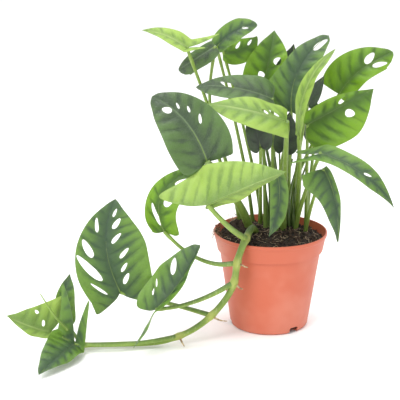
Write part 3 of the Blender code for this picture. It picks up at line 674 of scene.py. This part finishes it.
def skinFinish(kind, values, underside):
    look = Finish("leaf" + kind.capitalize() + ("Back" if underside else "Face"))
    spot = look.node("ShaderNodeUVMap", {"uv_map": "blade"})
    across = look.node("ShaderNodeSeparateXYZ", inputs={"Vector": spot}, output=1).size()
    veins = look.attribute("vein")
    flat = look.node("ShaderNodeUVMap", {"uv_map": "flat"})
    cloudy = look.grain(34, 3, 0.6)
    patchy = look.grain(95, 3, 0.65)
    fine = look.grain(1500, 2, 0.6)
    web = look.node("ShaderNodeTexVoronoi", {"feature": "DISTANCE_TO_EDGE"}, {
        "Vector": flat, "Scale": 0.36, "Randomness": 1.0}, output="Distance")
    webLine = look.ease(web, 0.0, 0.10, 1.0, 0.0)
    fineWeb = look.node("ShaderNodeTexVoronoi", {"feature": "DISTANCE_TO_EDGE"}, {
        "Vector": flat, "Scale": 1.1, "Randomness": 1.0}, output="Distance")
    fineLine = look.ease(fineWeb, 0.0, 0.14, 1.0, 0.0)
    # a vein is a broad dark band with a thin line in it
    gap = veins.nearest()
    broken = (cloudy - 0.5) * 0.55 + (patchy - 0.5) * 0.40
    broad = look.ease(gap + broken, 0.02, 0.34, 1.0, 0.0) * look.ease(across + broken, 0.30, 0.95, 0.9, 0.05)
    thinLine = look.ease(gap, 0.0, 0.028, 1.0, 0.0) * look.ease(across, 0.6, 0.98, 1.0, 0.0)
    # darker towards the midrib: partly the leaf's own darker green, and on the grey skin partly painted sheen
    nearRib = look.ease(across + broken * 0.5, 0.02, 0.50, 1.0, 0.0)
    ribLine = look.attribute("rib")
    dark = (broad.most(nearRib * 0.9)) * values["contrast"]
    light = look.blend(look.ease(cloudy * 0.6 + across * 0.4, 0.35, 0.75), values["light"], values["mottle"])
    if underside:
        light = look.blend(0.72, light, values["back"])
        dark = dark * 0.35
    colour = look.blend(dark, light, values["dark"])
    colour = look.blend(webLine * 0.16 + fineLine * 0.08, colour, values["rib"])
    colour = look.blend(thinLine * 0.35, colour, values["rib"])
    colour = look.blend(ribLine, colour, values["rib"])
    colour = look.blend(look.attribute("edge") * 0.35, colour, values["back"])
    height = 1.0 - webLine * 0.35 - fineLine * 0.12 - thinLine * 0.5 + patchy * 0.5 + fine * 0.10
    roughness = values["roughness"] + (0.16 if underside else 0.0) + patchy * 0.10
    look.paint(Base_Color=colour, Roughness=roughness, Normal=look.bump(height, 0.0005, 0.9))
    look.shader.inputs["Specular IOR Level"].default_value = 0.30 if underside else 0.62
    look.letLightThrough(values["through"], (0.42, 0.66, 0.10))
    return look.material


def stemFinish(name, light, dark, roughness=0.36):
    # shade is 0 on the light green underside and tip, 1 where the stem is dark; joint is 1 at a joint
    look = Finish(name)
    cloudy = look.grain(60, 3, 0.6)
    streaks = look.grain(420, 3, 0.6, look.place((1, 1, 0.25)))
    shade = look.attribute("shade")
    joint = look.attribute("joint")
    colour = look.blend((shade + (cloudy - 0.5) * 0.7).least(1.0).most(0.0), light, dark)
    colour = look.blend(look.ease(streaks, 0.5, 0.75) * 0.25, colour, (0.66, 0.74, 0.36))
    colour = look.blend(joint * 0.75, colour, (0.62, 0.62, 0.16))
    look.paint(Base_Color=colour, Roughness=roughness + streaks * 0.12,
               Normal=look.bump(streaks, 0.0003, 0.8))
    look.shader.inputs["Specular IOR Level"].default_value = 0.45
    look.letLightThrough(0.12, (0.5, 0.7, 0.15))
    return look.material


skins = {}
for kind, values in leafSkins.items():
    skins[kind] = (skinFinish(kind, values, False), skinFinish(kind, values, True))
stalkFinish = stemFinish("stalkGreen", (0.28, 0.42, 0.075), (0.050, 0.105, 0.026))
vineFinish = stemFinish("vineGreen", (0.25, 0.37, 0.055), (0.045, 0.095, 0.025))
print("leaf and stem finishes ready")


def edgeOf(part):
    lobe, belly, heel = part["lobe"], part["belly"], part["heelWidth"]
    full, blunt = part["fullness"], part["bluntness"]
    rest = 1 - belly
    shoulder = min(1.0, heel + 0.62 * (0.93 - heel))
    points = [
        (0, 0, 0), (-0.5 * lobe, 0.3 * heel, 0), (-lobe, heel, 0), (-0.5 * lobe, shoulder, 0),
        (0.3 * belly, 0.96, 0), (belly, 1, 0), (belly + 0.33 * rest, 0.86 * full, 0),
        (belly + 0.65 * rest, 0.52 * full + 0.25 * blunt, 0),
        (belly + 0.86 * rest, 0.20 * full + 0.35 * blunt, 0),
        (belly + 0.95 * rest, 0.07 + 0.30 * blunt, 0), (1, 0, 0),
    ]
    return [(p.x, p.y) for p in smoothPath(points, 7)]


def widthAt(part, edge, share):
    start = min(range(len(edge)), key=lambda i: edge[i][0])
    outer = edge[start:]
    for (s0, w0), (s1, w1) in zip(outer, outer[1:]):
        if s0 <= share <= s1:
            return part["width"] * mm * (w0 + (w1 - w0) * (share - s0) / max(1e-9, s1 - s0))
    return 0.0


def holeLoops(part, edge, length, sign):
    for start, inner, outer, halfWidth in part["holes"]:
        stop = start + holeSlant * (outer - inner)
        near = Vector((start * length, inner * widthAt(part, edge, start)))
        far = Vector((stop * length, outer * widthAt(part, edge, stop)))
        centre, reach = (near + far) / 2, (far - near) / 2
        acrossWay = Vector((-reach.y, reach.x)).normalized() * halfWidth * mm
        loop = []
        for step in range(28):
            angle = 2 * math.pi * step / 28
            # an egg, wider at its inner end
            egg = 1 - 0.22 * math.cos(angle)
            spot = centre + math.cos(angle) * reach + math.sin(angle) * egg * acrossWay
            loop.append((spot.x, sign * spot.y))
        yield loop


def bendBlade(spec, base, length, x, y, z):
    # where points of the flat blade lie on the leaf, and the leaf's own upward direction there
    tip = np.array(spec["tip"]) * mm
    pull = tip / 2 + 2 * np.array(spec["arch"]) * mm
    share = x / length
    ahead = np.maximum(share, 0.0)[:, None]
    centre = np.array(base) + 2 * ahead * (1 - ahead) * pull + ahead * ahead * tip
    chord = tip / np.linalg.norm(tip)
    lobe = max(part["lobe"] for part in spec["sides"])
    heel = np.array(spec["heel"]) * mm if spec["heel"] else -chord * lobe * length
    centre = centre + np.maximum(-share / lobe, 0.0)[:, None] * heel
    tangent = 2 * (1 - ahead) * pull + 2 * ahead * (tip - pull)
    tangent /= np.linalg.norm(tangent, axis=1)[:, None]
    tangent = tangent + chord
    tangent /= np.linalg.norm(tangent, axis=1)[:, None]
    face = np.array(spec["face"], dtype=float)
    right = np.cross(tangent, face / np.linalg.norm(face))
    right /= np.linalg.norm(right, axis=1)[:, None]
    up = np.cross(right, tangent)
    fold = np.where(y < 0, spec["sides"][0]["fold"], spec["sides"][1]["fold"])
    curl = np.where(y < 0, spec["sides"][0]["curl"], spec["sides"][1]["curl"])
    width = np.where(y < 0, spec["sides"][0]["width"], spec["sides"][1]["width"]) * mm
    reach = np.abs(y)
    lean = np.radians(fold + 0.5 * curl * reach / width)[:, None]
    way = np.sign(y)[:, None]
    out = way * np.cos(lean) * right + np.sin(lean) * up
    normal = np.cos(lean) * up - way * np.sin(lean) * right
    return centre + reach[:, None] * out + z[:, None] * normal, normal


def distanceToLoops(x, y, loops):
    nearest = np.full(len(x), 1.0)
    for loop in loops:
        a = np.array(loop)
        b = np.roll(a, -1, axis=0)
        d = b - a
        span = np.maximum((d * d).sum(1), 1e-14)
        px, py = x[:, None] - a[None, :, 0], y[:, None] - a[None, :, 1]
        t = np.clip((px * d[:, 0] + py * d[:, 1]) / span, 0, 1)
        gap = np.hypot(px - t * d[:, 0], py - t * d[:, 1]).min(axis=1)
        nearest = np.minimum(nearest, gap)
    return nearest


def flatBlade(name, loops):
    data = bpy.data.curves.new(name, "CURVE")
    data.dimensions = "2D"
    data.fill_mode = "BOTH"
    for loop in loops:
        spline = data.splines.new("POLY")
        spline.points.add(len(loop) - 1)
        for knot, (x, y) in zip(spline.points, loop):
            knot.co = (x, y, 0, 1)
        spline.use_cyclic_u = True
    piece = bpy.data.objects.new(name, data)
    scene.collection.objects.link(piece)
    pick(piece)
    bpy.ops.object.convert(target="MESH")
    piece = bpy.context.view_layer.objects.active
    bpy.ops.object.mode_set(mode="EDIT")
    bpy.ops.mesh.select_all(action="SELECT")
    bpy.ops.mesh.remove_doubles(threshold=0.000005)
    bpy.ops.mesh.dissolve_limited(angle_limit=math.radians(0.5))
    xs = [p[0] for p in loops[0]]
    ys = [p[1] for p in loops[0]]
    for low, high, normal in ((min(xs), max(xs), (1, 0, 0)), (min(ys), max(ys), (0, 1, 0))):
        count = max(2, round((high - low) / blade["cell"]))
        for step in range(1, count):
            place = low + (high - low) * step / count
            bpy.ops.mesh.select_all(action="SELECT")
            bpy.ops.mesh.bisect(plane_co=tuple(place * n for n in normal), plane_no=normal,
                                threshold=0.000002)
    bpy.ops.mesh.select_all(action="SELECT")
    bpy.ops.mesh.bisect(plane_co=(0, 0, 0), plane_no=(0, 1, 0), threshold=0.000002)
    bpy.ops.object.mode_set(mode="OBJECT")
    return piece


def makeBlade(name, spec, base, number):
    length = Vector(spec["tip"]).length * mm
    loops = [[]]
    for part, sign in zip(spec["sides"], (-1, 1)):
        edge = edgeOf(part)
        rim = [(s * length, sign * w * part["width"] * mm) for s, w in edge]
        loops[0] += rim if sign < 0 else rim[-2:0:-1]
        loops += list(holeLoops(part, edge, length, sign))
    piece = flatBlade("leaf_" + name, loops)
    mesh = piece.data
    flat = meshPoints(mesh)
    x, y = flat[:, 0], flat[:, 1]
    width = np.where(y < 0, spec["sides"][0]["width"], spec["sides"][1]["width"]) * mm
    acrossShare = np.abs(y) / width
    share = x / length
    count = max(3, round(length / blade["veinSpacing"]))
    # side veins leave the midrib in turn and bow towards the tip
    slant = blade["veinSlant"] * np.minimum(1.0, width / (0.35 * length))
    vein = count * (share - slant * acrossShare ** 1.35)
    vein += np.where(y < 0, 0.5, 0.0) + 0.13 * number
    gap = np.abs(vein - np.round(vein))
    edgeGap = distanceToLoops(x, y, loops)
    outerGap = distanceToLoops(x, y, loops[:1])
    size = min(1.0, width.max() / (26 * mm))
    puff = blade["puff"] * size * (np.sin(np.pi * np.minimum(gap * 2, 1.0) * 0.5) ** 0.8 - 0.5)
    puff *= np.clip(np.abs(y) / (5 * mm), 0, 1) * np.clip(outerGap / (6 * mm), 0, 1)
    groove = -blade["groove"] * np.exp(-(y / (1.1 * mm)) ** 2) * (share > -0.02)
    wave = np.array([noise.noise(Vector((px * 22, py * 22, number * 3.7))) for px, py in zip(x, y)])
    swing = np.sin(share * 9 + wave * 3 + number + np.where(y < 0, 2.0, 0))
    ripple = blade["ripple"] * size * acrossShare ** 2 * swing
    droop = -blade["rimDroop"] * np.exp(-(outerGap / (2.2 * mm)) ** 2)
    lift = puff + groove + ripple + droop + wave * 1.2 * mm * size * np.clip(np.abs(y) / (8 * mm), 0, 1)
    placed, normal = bendBlade(spec, base, length, x, y, np.zeros(len(x)))
    placed = placed + lift[:, None] * normal
    setPoints(mesh, placed)
    setAttribute(mesh, "vein", vein)
    setAttribute(mesh, "edge", np.exp(-(edgeGap / (0.7 * mm)) ** 2))
    fading = np.clip((1.02 - share) * 3, 0, 1) * (share > -0.02)
    setAttribute(mesh, "rib", np.exp(-(y / (0.6 * mm)) ** 2) * fading)
    corner = np.empty(len(mesh.loops), dtype=np.int32)
    mesh.loops.foreach_get("vertex_index", corner)
    for layerName, u, v in (("blade", share, y / width), ("flat", x / mm, y / mm)):
        layer = mesh.uv_layers.new(name=layerName)
        layer.data.foreach_set("uv", np.stack((u[corner], v[corner]), axis=1).astype(np.float32).ravel())
    pick(piece)
    # the upper face must look the way the leaf faces
    facing = np.empty(len(mesh.polygons) * 3)
    mesh.polygons.foreach_get("normal", facing)
    if (facing.reshape(-1, 3) @ np.array(spec["face"])).sum() < 0:
        mesh.flip_normals()
    shell = piece.modifiers.new("thickness", "SOLIDIFY")
    shell.thickness = blade["thickness"]
    shell.offset = 0
    shell.material_offset = 1
    for skin in skins[skinOf[name]]:
        mesh.materials.append(skin)
    finishModifiers(piece)
    pick(piece)
    bpy.ops.object.shade_smooth_by_angle(angle=math.radians(50))
    return piece, length


def stalkShade(points, tube, joints=()):
    # dark on the upper side, light below and towards the blade
    mesh = tube.data
    spots = meshPoints(mesh)
    path = np.array([tuple(p) for p in points])
    near = np.argmin(((spots[:, None, :] - path[None]) ** 2).sum(2), axis=1)
    along = near / (len(points) - 1)
    normals = np.empty(len(mesh.vertices) * 3)
    mesh.vertices.foreach_get("normal", normals)
    normals = normals.reshape(-1, 3)
    setAttribute(mesh, "shade", np.clip(0.45 + 0.45 * normals[:, 2] - 0.3 * along, 0, 1))
    joint = np.zeros(len(spots))
    for place in joints:
        joint = np.maximum(joint, np.exp(-((spots - np.array(tuple(place))) ** 2).sum(1) / (6 * mm) ** 2))
    setAttribute(mesh, "joint", joint)


stalk = {
    "thickness": 1.15,     # multiplies every stalk's radius
    "endShare": 0.6,       # the radius at the blade, as a share of that at the foot
    "taper": 0.7,
    "kneeSwelling": 0.22,  # the knee below the blade is a little thicker
    "kneePlace": 0.93,
    "kneeLength": 0.035,
}


def makeStalk(name, spec):
    path = smoothPath(stalkRoute(spec), 9)
    last = len(path) - 1
    start = stalk["thickness"] * spec["thick"] * mm
    radii = []
    for i in range(last + 1):
        share = i / last
        radius = start + (stalk["endShare"] * start - start) * share ** stalk["taper"]
        fromKnee = (share - stalk["kneePlace"]) / stalk["kneeLength"]
        radius *= 1 + stalk["kneeSwelling"] * math.exp(-fromKnee ** 2)
        radii.append(radius)
    liftOffFloor(path, radii)
    tube = tubeCurve("stalk_" + name, path, radii, 2)
    stalkShade(path, tube)
    tube.data.materials.append(stalkFinish)
    bpy.ops.object.shade_smooth()
    return tube


def makeRib(name, spec, base, length):
    # the midrib stands proud under the blade, from the stalk to near the tip
    steps = 16
    share = np.linspace(0.0, 0.95, steps)
    radii = [blade["ribRadius"] * min(1.0, length / (70 * mm)) * (1 - 0.75 * s) for s in share]
    spots, _ = bendBlade(spec, base, length, share * length, np.zeros(steps),
                         -blade["groove"] - 0.35 * np.array(radii))
    path = [Vector(p) for p in spots]
    tube = tubeCurve("rib_" + name, path, radii, 1)
    stalkShade(path, tube)
    tube.data.materials.append(stalkFinish)
    bpy.ops.object.shade_smooth()
    return tube


for number, (name, spec) in enumerate(leaves.items()):
    base = stalkRoute(spec)[-1]
    piece, length = makeBlade(name, spec, base, number)
    rib = makeRib(name, spec, base, length)
    whole = joinPieces([piece, rib], "leaf_" + name)
    addPiece(whole, "leaf_light" if name in lightLeaves else "leaf_green", "leaf_" + name)
    addPiece(makeStalk(name, spec), "stalk", "stalk_" + name)
print("leaves ready:", len(leaves))


# the trailing stem, with swollen joints and the stubs of its aerial roots
vine = {
    "radius": 3.7 * mm,
    "tipRadius": 2.6 * mm,
    "swelling": 0.3,
    "jointLength": 4.5 * mm,
    "footDepth": 5,        # how far the foot runs into the soil, in mm
    "stubRadius": 1.2 * mm,
    "stepsBetween": 8,
}
rootStubs = (
    ((-34, -63, 87), (-30, -64, 85), (-26, -65, 84)),
    ((-37, -64, 64), (-34, -66, 62), (-31, -66, 61)),
    ((-60, -67, 30), (-54, -69, 28), (-47, -69, 27)),
    ((-95, -73, 9), (-93, -77, 6), (-91, -80, 4)),
)
shoots = {
    "shoot_trailing": (((-209, -90, 26), (-222, -95, 45), (-234, -98, 68)), (1.8, 0.5)),
    "shoot_right": (((60, -12, 130), (62, -10, 139), (61, -8, 149)), (1.8, 0.5)),
}


def rootFinish():
    look = Finish("dryRoot")
    cloudy = look.grain(260, 3, 0.6)
    fine = look.grain(1400, 2, 0.6)
    colour = look.blend(look.ease(cloudy, 0.35, 0.7), (0.20, 0.12, 0.06), (0.50, 0.40, 0.22))
    look.paint(Base_Color=colour, Roughness=0.75, Normal=look.bump(cloudy + fine * 0.5, 0.0004))
    return look.material


drySkin = rootFinish()


def makeVine():
    places = [draped(x, y, z) for x, y, z, _ in vinePoints]
    first = vinePoints[0]
    places[0] = crown(first[0], first[1], -vine["footDepth"])
    path = smoothPath(places, vine["stepsBetween"])
    joints = [places[i] for i, row in enumerate(vinePoints) if row[3]]
    last = len(path) - 1
    radii = []
    for i, point in enumerate(path):
        radius = vine["radius"] + (vine["tipRadius"] - vine["radius"]) * (i / last) ** 2
        near = min((point - joint).length for joint in joints)
        radius *= 1 + vine["swelling"] * math.exp(-(near / vine["jointLength"]) ** 2)
        radii.append(radius)
    liftOffFloor(path, radii)
    tube = tubeCurve("vine_stem", path, radii, 4)
    stalkShade(path, tube, joints)
    tube.data.materials.append(vineFinish)
    bpy.ops.object.shade_smooth()
    stubs = []
    for number, route in enumerate(rootStubs):
        path = smoothPath([draped(*p) for p in route], 6)
        last = len(path) - 1
        radii = [vine["stubRadius"] * (1 - 0.6 * i / last) * (1 + 0.15 * math.sin(i * 2.1))
                 for i in range(last + 1)]
        stub = tubeCurve("rootStub%d" % number, path, radii, 2)
        stub.data.materials.append(drySkin)
        bpy.ops.object.shade_smooth()
        stubs.append(stub)
    addPiece(joinPieces([tube, *stubs], "vine_stem"), "vine", "vine_stem")

    for name, (route, (thick, thin)) in shoots.items():
        spot = draped if name == "shoot_trailing" else crown
        path = smoothPath([spot(*p) for p in route], 8)
        last = len(path) - 1
        radii = [(thick + (thin - thick) * i / last) * mm for i in range(last + 1)]
        shoot = tubeCurve(name, path, radii, 3)
        stalkShade(path, shoot)
        shoot.data.materials.append(stalkFinish)
        bpy.ops.object.shade_smooth()
        addPiece(shoot, "stalk", name)


# more stems crowd the middle of the crown; their darker green is painted shade, for the shade of the leaves
# over them
crowd = {
    "count": 16,
    "centre": (12, 26),
    "spread": (30, 16),
    "footShare": 0.55,     # the feet stand closer together than the heads
    "heights": (70, 125),
    "radius": 1.7 * mm,
}


def makeCrowd():
    random.seed(11)
    # a darker copy of the stem finish: painted shade
    dark = stemFinish("paintedShadeStem", (0.16, 0.25, 0.06), (0.035, 0.07, 0.025))
    stems = []
    for i in range(crowd["count"]):
        turn = 2 * math.pi * i * 0.382
        out = 0.35 + 0.65 * (i / crowd["count"]) ** 0.5
        way = (out * crowd["spread"][0] * math.cos(turn), out * crowd["spread"][1] * math.sin(turn))
        foot, head = [[c + share * w for c, w in zip(crowd["centre"], way)]
                      for share in (crowd["footShare"], 1.0)]
        high = random.uniform(*crowd["heights"])
        sway = random.uniform(-4, 4)
        path = smoothPath([crown(*foot, -4), crown(foot[0] + sway, foot[1], 0.4 * high),
                           crown(head[0], head[1], high)], 8)
        last = len(path) - 1
        radii = [crowd["radius"] * (1 - 0.45 * k / last) for k in range(last + 1)]
        stem = tubeCurve("stem", path, radii, 2)
        stalkShade(path, stem)
        stem.data.materials.append(dark)
        bpy.ops.object.shade_smooth()
        stems.append(stem)
    addPiece(joinPieces(stems, "inner_stems"), "stalk")


makeVine()
makeCrowd()
print("trailing stem ready")


# potting soil: a lumpy body, loose crumbs on top, and fine roots
soil = {
    "belowRim": 4 * mm,
    "edgeDrop": 5 * mm,
    "mound": (-34 * mm, 30 * mm),
    "moundHeight": 9 * mm,
    "moundWidth": 13 * mm,
    "cells": 120,
    "lumps": ((90, 0, 1.6), (320, 5, 1.1), (800, 9, 0.5)),  # scale, layer, height in mm
    "crumbs": 900,
    "spilled": 130,
    "fibres": 70,
}


def soilRadius():
    share = soil["belowRim"] / pot["collarHeight"]
    return pot["topRadius"] - 1.5 * pot["wall"] - pot["collarTaper"] * share


def soilHeight(x, y):
    radius = math.hypot(x, y) / soilRadius()
    drop = soil["edgeDrop"] * max(0.0, radius - 0.72) / 0.28
    away = math.hypot(x - soil["mound"][0], y - soil["mound"][1]) / soil["moundWidth"]
    return soilLevel - drop + soil["moundHeight"] * math.exp(-away * away)


def soilFinish():
    look = Finish("pottingSoil")
    cloudy = look.grain(120, 4, 0.7)
    fine = look.grain(900, 3, 0.7)
    tint = look.attribute("tint")
    colour = look.blend(look.ease(cloudy, 0.4, 0.7), (0.018, 0.012, 0.009), (0.060, 0.036, 0.022))
    colour = look.blend(look.ease(fine, 0.62, 0.72) * 0.5, colour, (0.12, 0.075, 0.045))
    colour = look.blend(tint, colour, (0.26, 0.15, 0.085))
    look.paint(Base_Color=colour, Roughness=0.92, Normal=look.bump(cloudy + fine, 0.0012))
    return look.material


def makeSoil():
    cells, reach = soil["cells"], soilRadius()
    bpy.ops.mesh.primitive_grid_add(x_subdivisions=cells, y_subdivisions=cells, size=2)
    body = bpy.context.view_layer.objects.active
    body.name = "soil_body"
    spots = meshPoints(body.data)
    # the square grid is drawn into a disc
    a, b = spots[:, 0], spots[:, 1]
    disc = np.stack((a * np.sqrt(1 - b * b / 2), b * np.sqrt(1 - a * a / 2)), axis=1) * reach
    rows = []
    for x, y in disc:
        lumps = sum(noise.noise(Vector((x * scale, y * scale, layer))) * high
                    for scale, layer, high in soil["lumps"])
        keep = 1 - max(0.0, math.hypot(x, y) / reach - 0.96) / 0.04
        rows.append((x, y, soilHeight(x, y) + (lumps * keep - 0.4) * mm))
    setPoints(body.data, np.array(rows))
    pick(body)
    bpy.ops.object.mode_set(mode="EDIT")
    bpy.ops.mesh.select_all(action="SELECT")
    bpy.ops.mesh.region_to_loop()
    for drop, taper in ((12 * mm, 0.90), (70 * mm, 0.79), (11 * mm, 0.9)):
        bpy.ops.mesh.extrude_edges_move(TRANSFORM_OT_translate={"value": (0, 0, -drop)})
        bpy.ops.transform.resize(value=(taper, taper, 1), center_override=(0, 0, 0))
    bpy.ops.mesh.edge_face_add()
    bpy.ops.mesh.select_all(action="SELECT")
    bpy.ops.mesh.normals_make_consistent(inside=False)
    bpy.ops.object.mode_set(mode="OBJECT")
    bpy.ops.object.shade_smooth()
    setAttribute(body.data, "tint", np.zeros(len(body.data.vertices)))

    bpy.ops.mesh.primitive_ico_sphere_add(subdivisions=1, radius=1)
    lump = bpy.context.view_layer.objects.active
    shape = meshPoints(lump.data)
    faces = np.array([list(p.vertices) for p in lump.data.polygons])
    bpy.data.objects.remove(lump)
    allSpots, allFaces, tints = [], [], []
    for i in range(soil["crumbs"] + soil["spilled"]):
        size = random.uniform(0.5, 1.0) ** 2 * 1.9 * mm
        if i < soil["crumbs"]:
            angle, away = random.uniform(0, 2 * math.pi), reach * 0.985 * random.random() ** 0.5
            x, y, _ = onCircle(angle, away)
            z = soilHeight(x, y) + random.uniform(-0.3, 0.9) * size
            tint = max(0.0, random.gauss(0.08, 0.12))
        else:
            # brown crumbs gathered over the left of the rim
            angle = math.radians(random.gauss(186, 13))
            away = pot["topRadius"] + random.gauss(-3.2, 1.8) * mm
            x, y, _ = onCircle(angle, away)
            size *= 0.62
            z = pot["height"] + random.uniform(-2.6, 1.4) * mm + (pot["topRadius"] - away) * 0.1
            if away > pot["topRadius"]:
                z = pot["height"] - random.uniform(0, 9) * mm
                x, y, _ = onCircle(angle, pot["topRadius"] + 0.3 * mm)
                size *= 0.6
            tint = random.uniform(0.25, 0.9)
        spin = np.array(randomTurn())
        spots = (shape * np.array([random.uniform(0.6, 1.2) for _ in range(3)])
                 * (1 + 0.25 * np.array([random.uniform(-1, 1) for _ in shape]))[:, None]) @ spin.T
        allFaces.append(faces + len(shape) * i)
        allSpots.append(spots * size + np.array((x, y, z)))
        tints += [min(1.0, tint)] * len(shape)
    crumbMesh = bpy.data.meshes.new("crumbs")
    crumbMesh.from_pydata(np.concatenate(allSpots).tolist(), [], np.concatenate(allFaces).tolist())
    crumbs = bpy.data.objects.new("crumbs", crumbMesh)
    scene.collection.objects.link(crumbs)
    setAttribute(crumbMesh, "tint", tints)
    dirt = soilFinish()
    body.data.materials.append(dirt)
    crumbMesh.materials.append(dirt)
    whole = joinPieces([body, crumbs], "soil_top")
    addPiece(whole, "soil", "soil")


def randomTurn():
    a, b, c = (random.uniform(0, 2 * math.pi) for _ in range(3))
    return Euler((c, b, a), "XYZ").to_matrix()


def makeFibres():
    look = Finish("fineRoots")
    cloudy = look.grain(300, 2, 0.5)
    look.paint(Base_Color=look.blend(cloudy, (0.30, 0.19, 0.10), (0.62, 0.52, 0.36)), Roughness=0.8)
    reach = soilRadius()
    hairs = []
    for i in range(soil["fibres"]):
        angle, away = random.uniform(0, 2 * math.pi), reach * 0.9 * random.random() ** 0.6
        x, y, _ = onCircle(angle, away)
        heading = random.uniform(0, 2 * math.pi)
        points = []
        for step in range(6):
            x, y = x + math.cos(heading) * 2.6 * mm, y + math.sin(heading) * 2.6 * mm
            if math.hypot(x, y) > reach * 0.96:
                heading += 2.2
                x, y = x * 0.93, y * 0.93
            heading += random.gauss(0, 0.55)
            points.append(Vector((x, y, soilHeight(x, y) + random.uniform(0.2, 1.9) * mm)))
        thick = random.uniform(0.10, 0.30) * mm
        hairs.append(tubeCurve("hair", smoothPath(points, 3), [thick] * (5 * 3 + 1), 0))
    for i in range(9):
        # threads that hang over the rim, and loops that spring from the mound
        angle = math.radians(random.gauss(187, 9))
        out = onCircle(angle, 1)
        start = onCircle(angle, pot["topRadius"] - 3 * mm, pot["height"] + 0.5 * mm)
        over = out * (pot["topRadius"] + random.uniform(0.6, 2.0) * mm)
        length = random.uniform(6, 24) * mm
        points = [start, onCircle(angle, pot["topRadius"], pot["height"] + 1.2 * mm)]
        for step in range(1, 5):
            sway = Vector((random.uniform(-1, 1), random.uniform(-1, 1), 0)) * 0.9 * mm
            points.append(over + sway + Vector((0, 0, pot["height"] - length * step / 4)))
        hairs.append(tubeCurve("hair", smoothPath(points, 4), [0.14 * mm] * (5 * 4 + 1), 0))
    for i in range(5):
        centre = Vector((-34 - i * 1.5, 28 - i, 0)) * mm
        size = random.uniform(2.5, 5) * mm
        points = []
        for step in range(8):
            angle = math.pi * (0.0 + 1.5 * step / 7) + i
            points.append(centre + Vector((math.cos(angle) * size - 3 * mm, -4 * mm + i * mm,
                                           108 * mm + size * (1 + math.sin(angle)))))
        hairs.append(tubeCurve("hair", smoothPath(points, 4), [0.22 * mm] * (7 * 4 + 1), 0))
    for hair in hairs:
        hair.data.materials.append(look.material)
    whole = joinPieces(hairs, "fine_roots")
    bpy.ops.object.shade_smooth()
    addPiece(whole, "vine")


makeSoil()
makeFibres()
print("soil ready")

print("done")
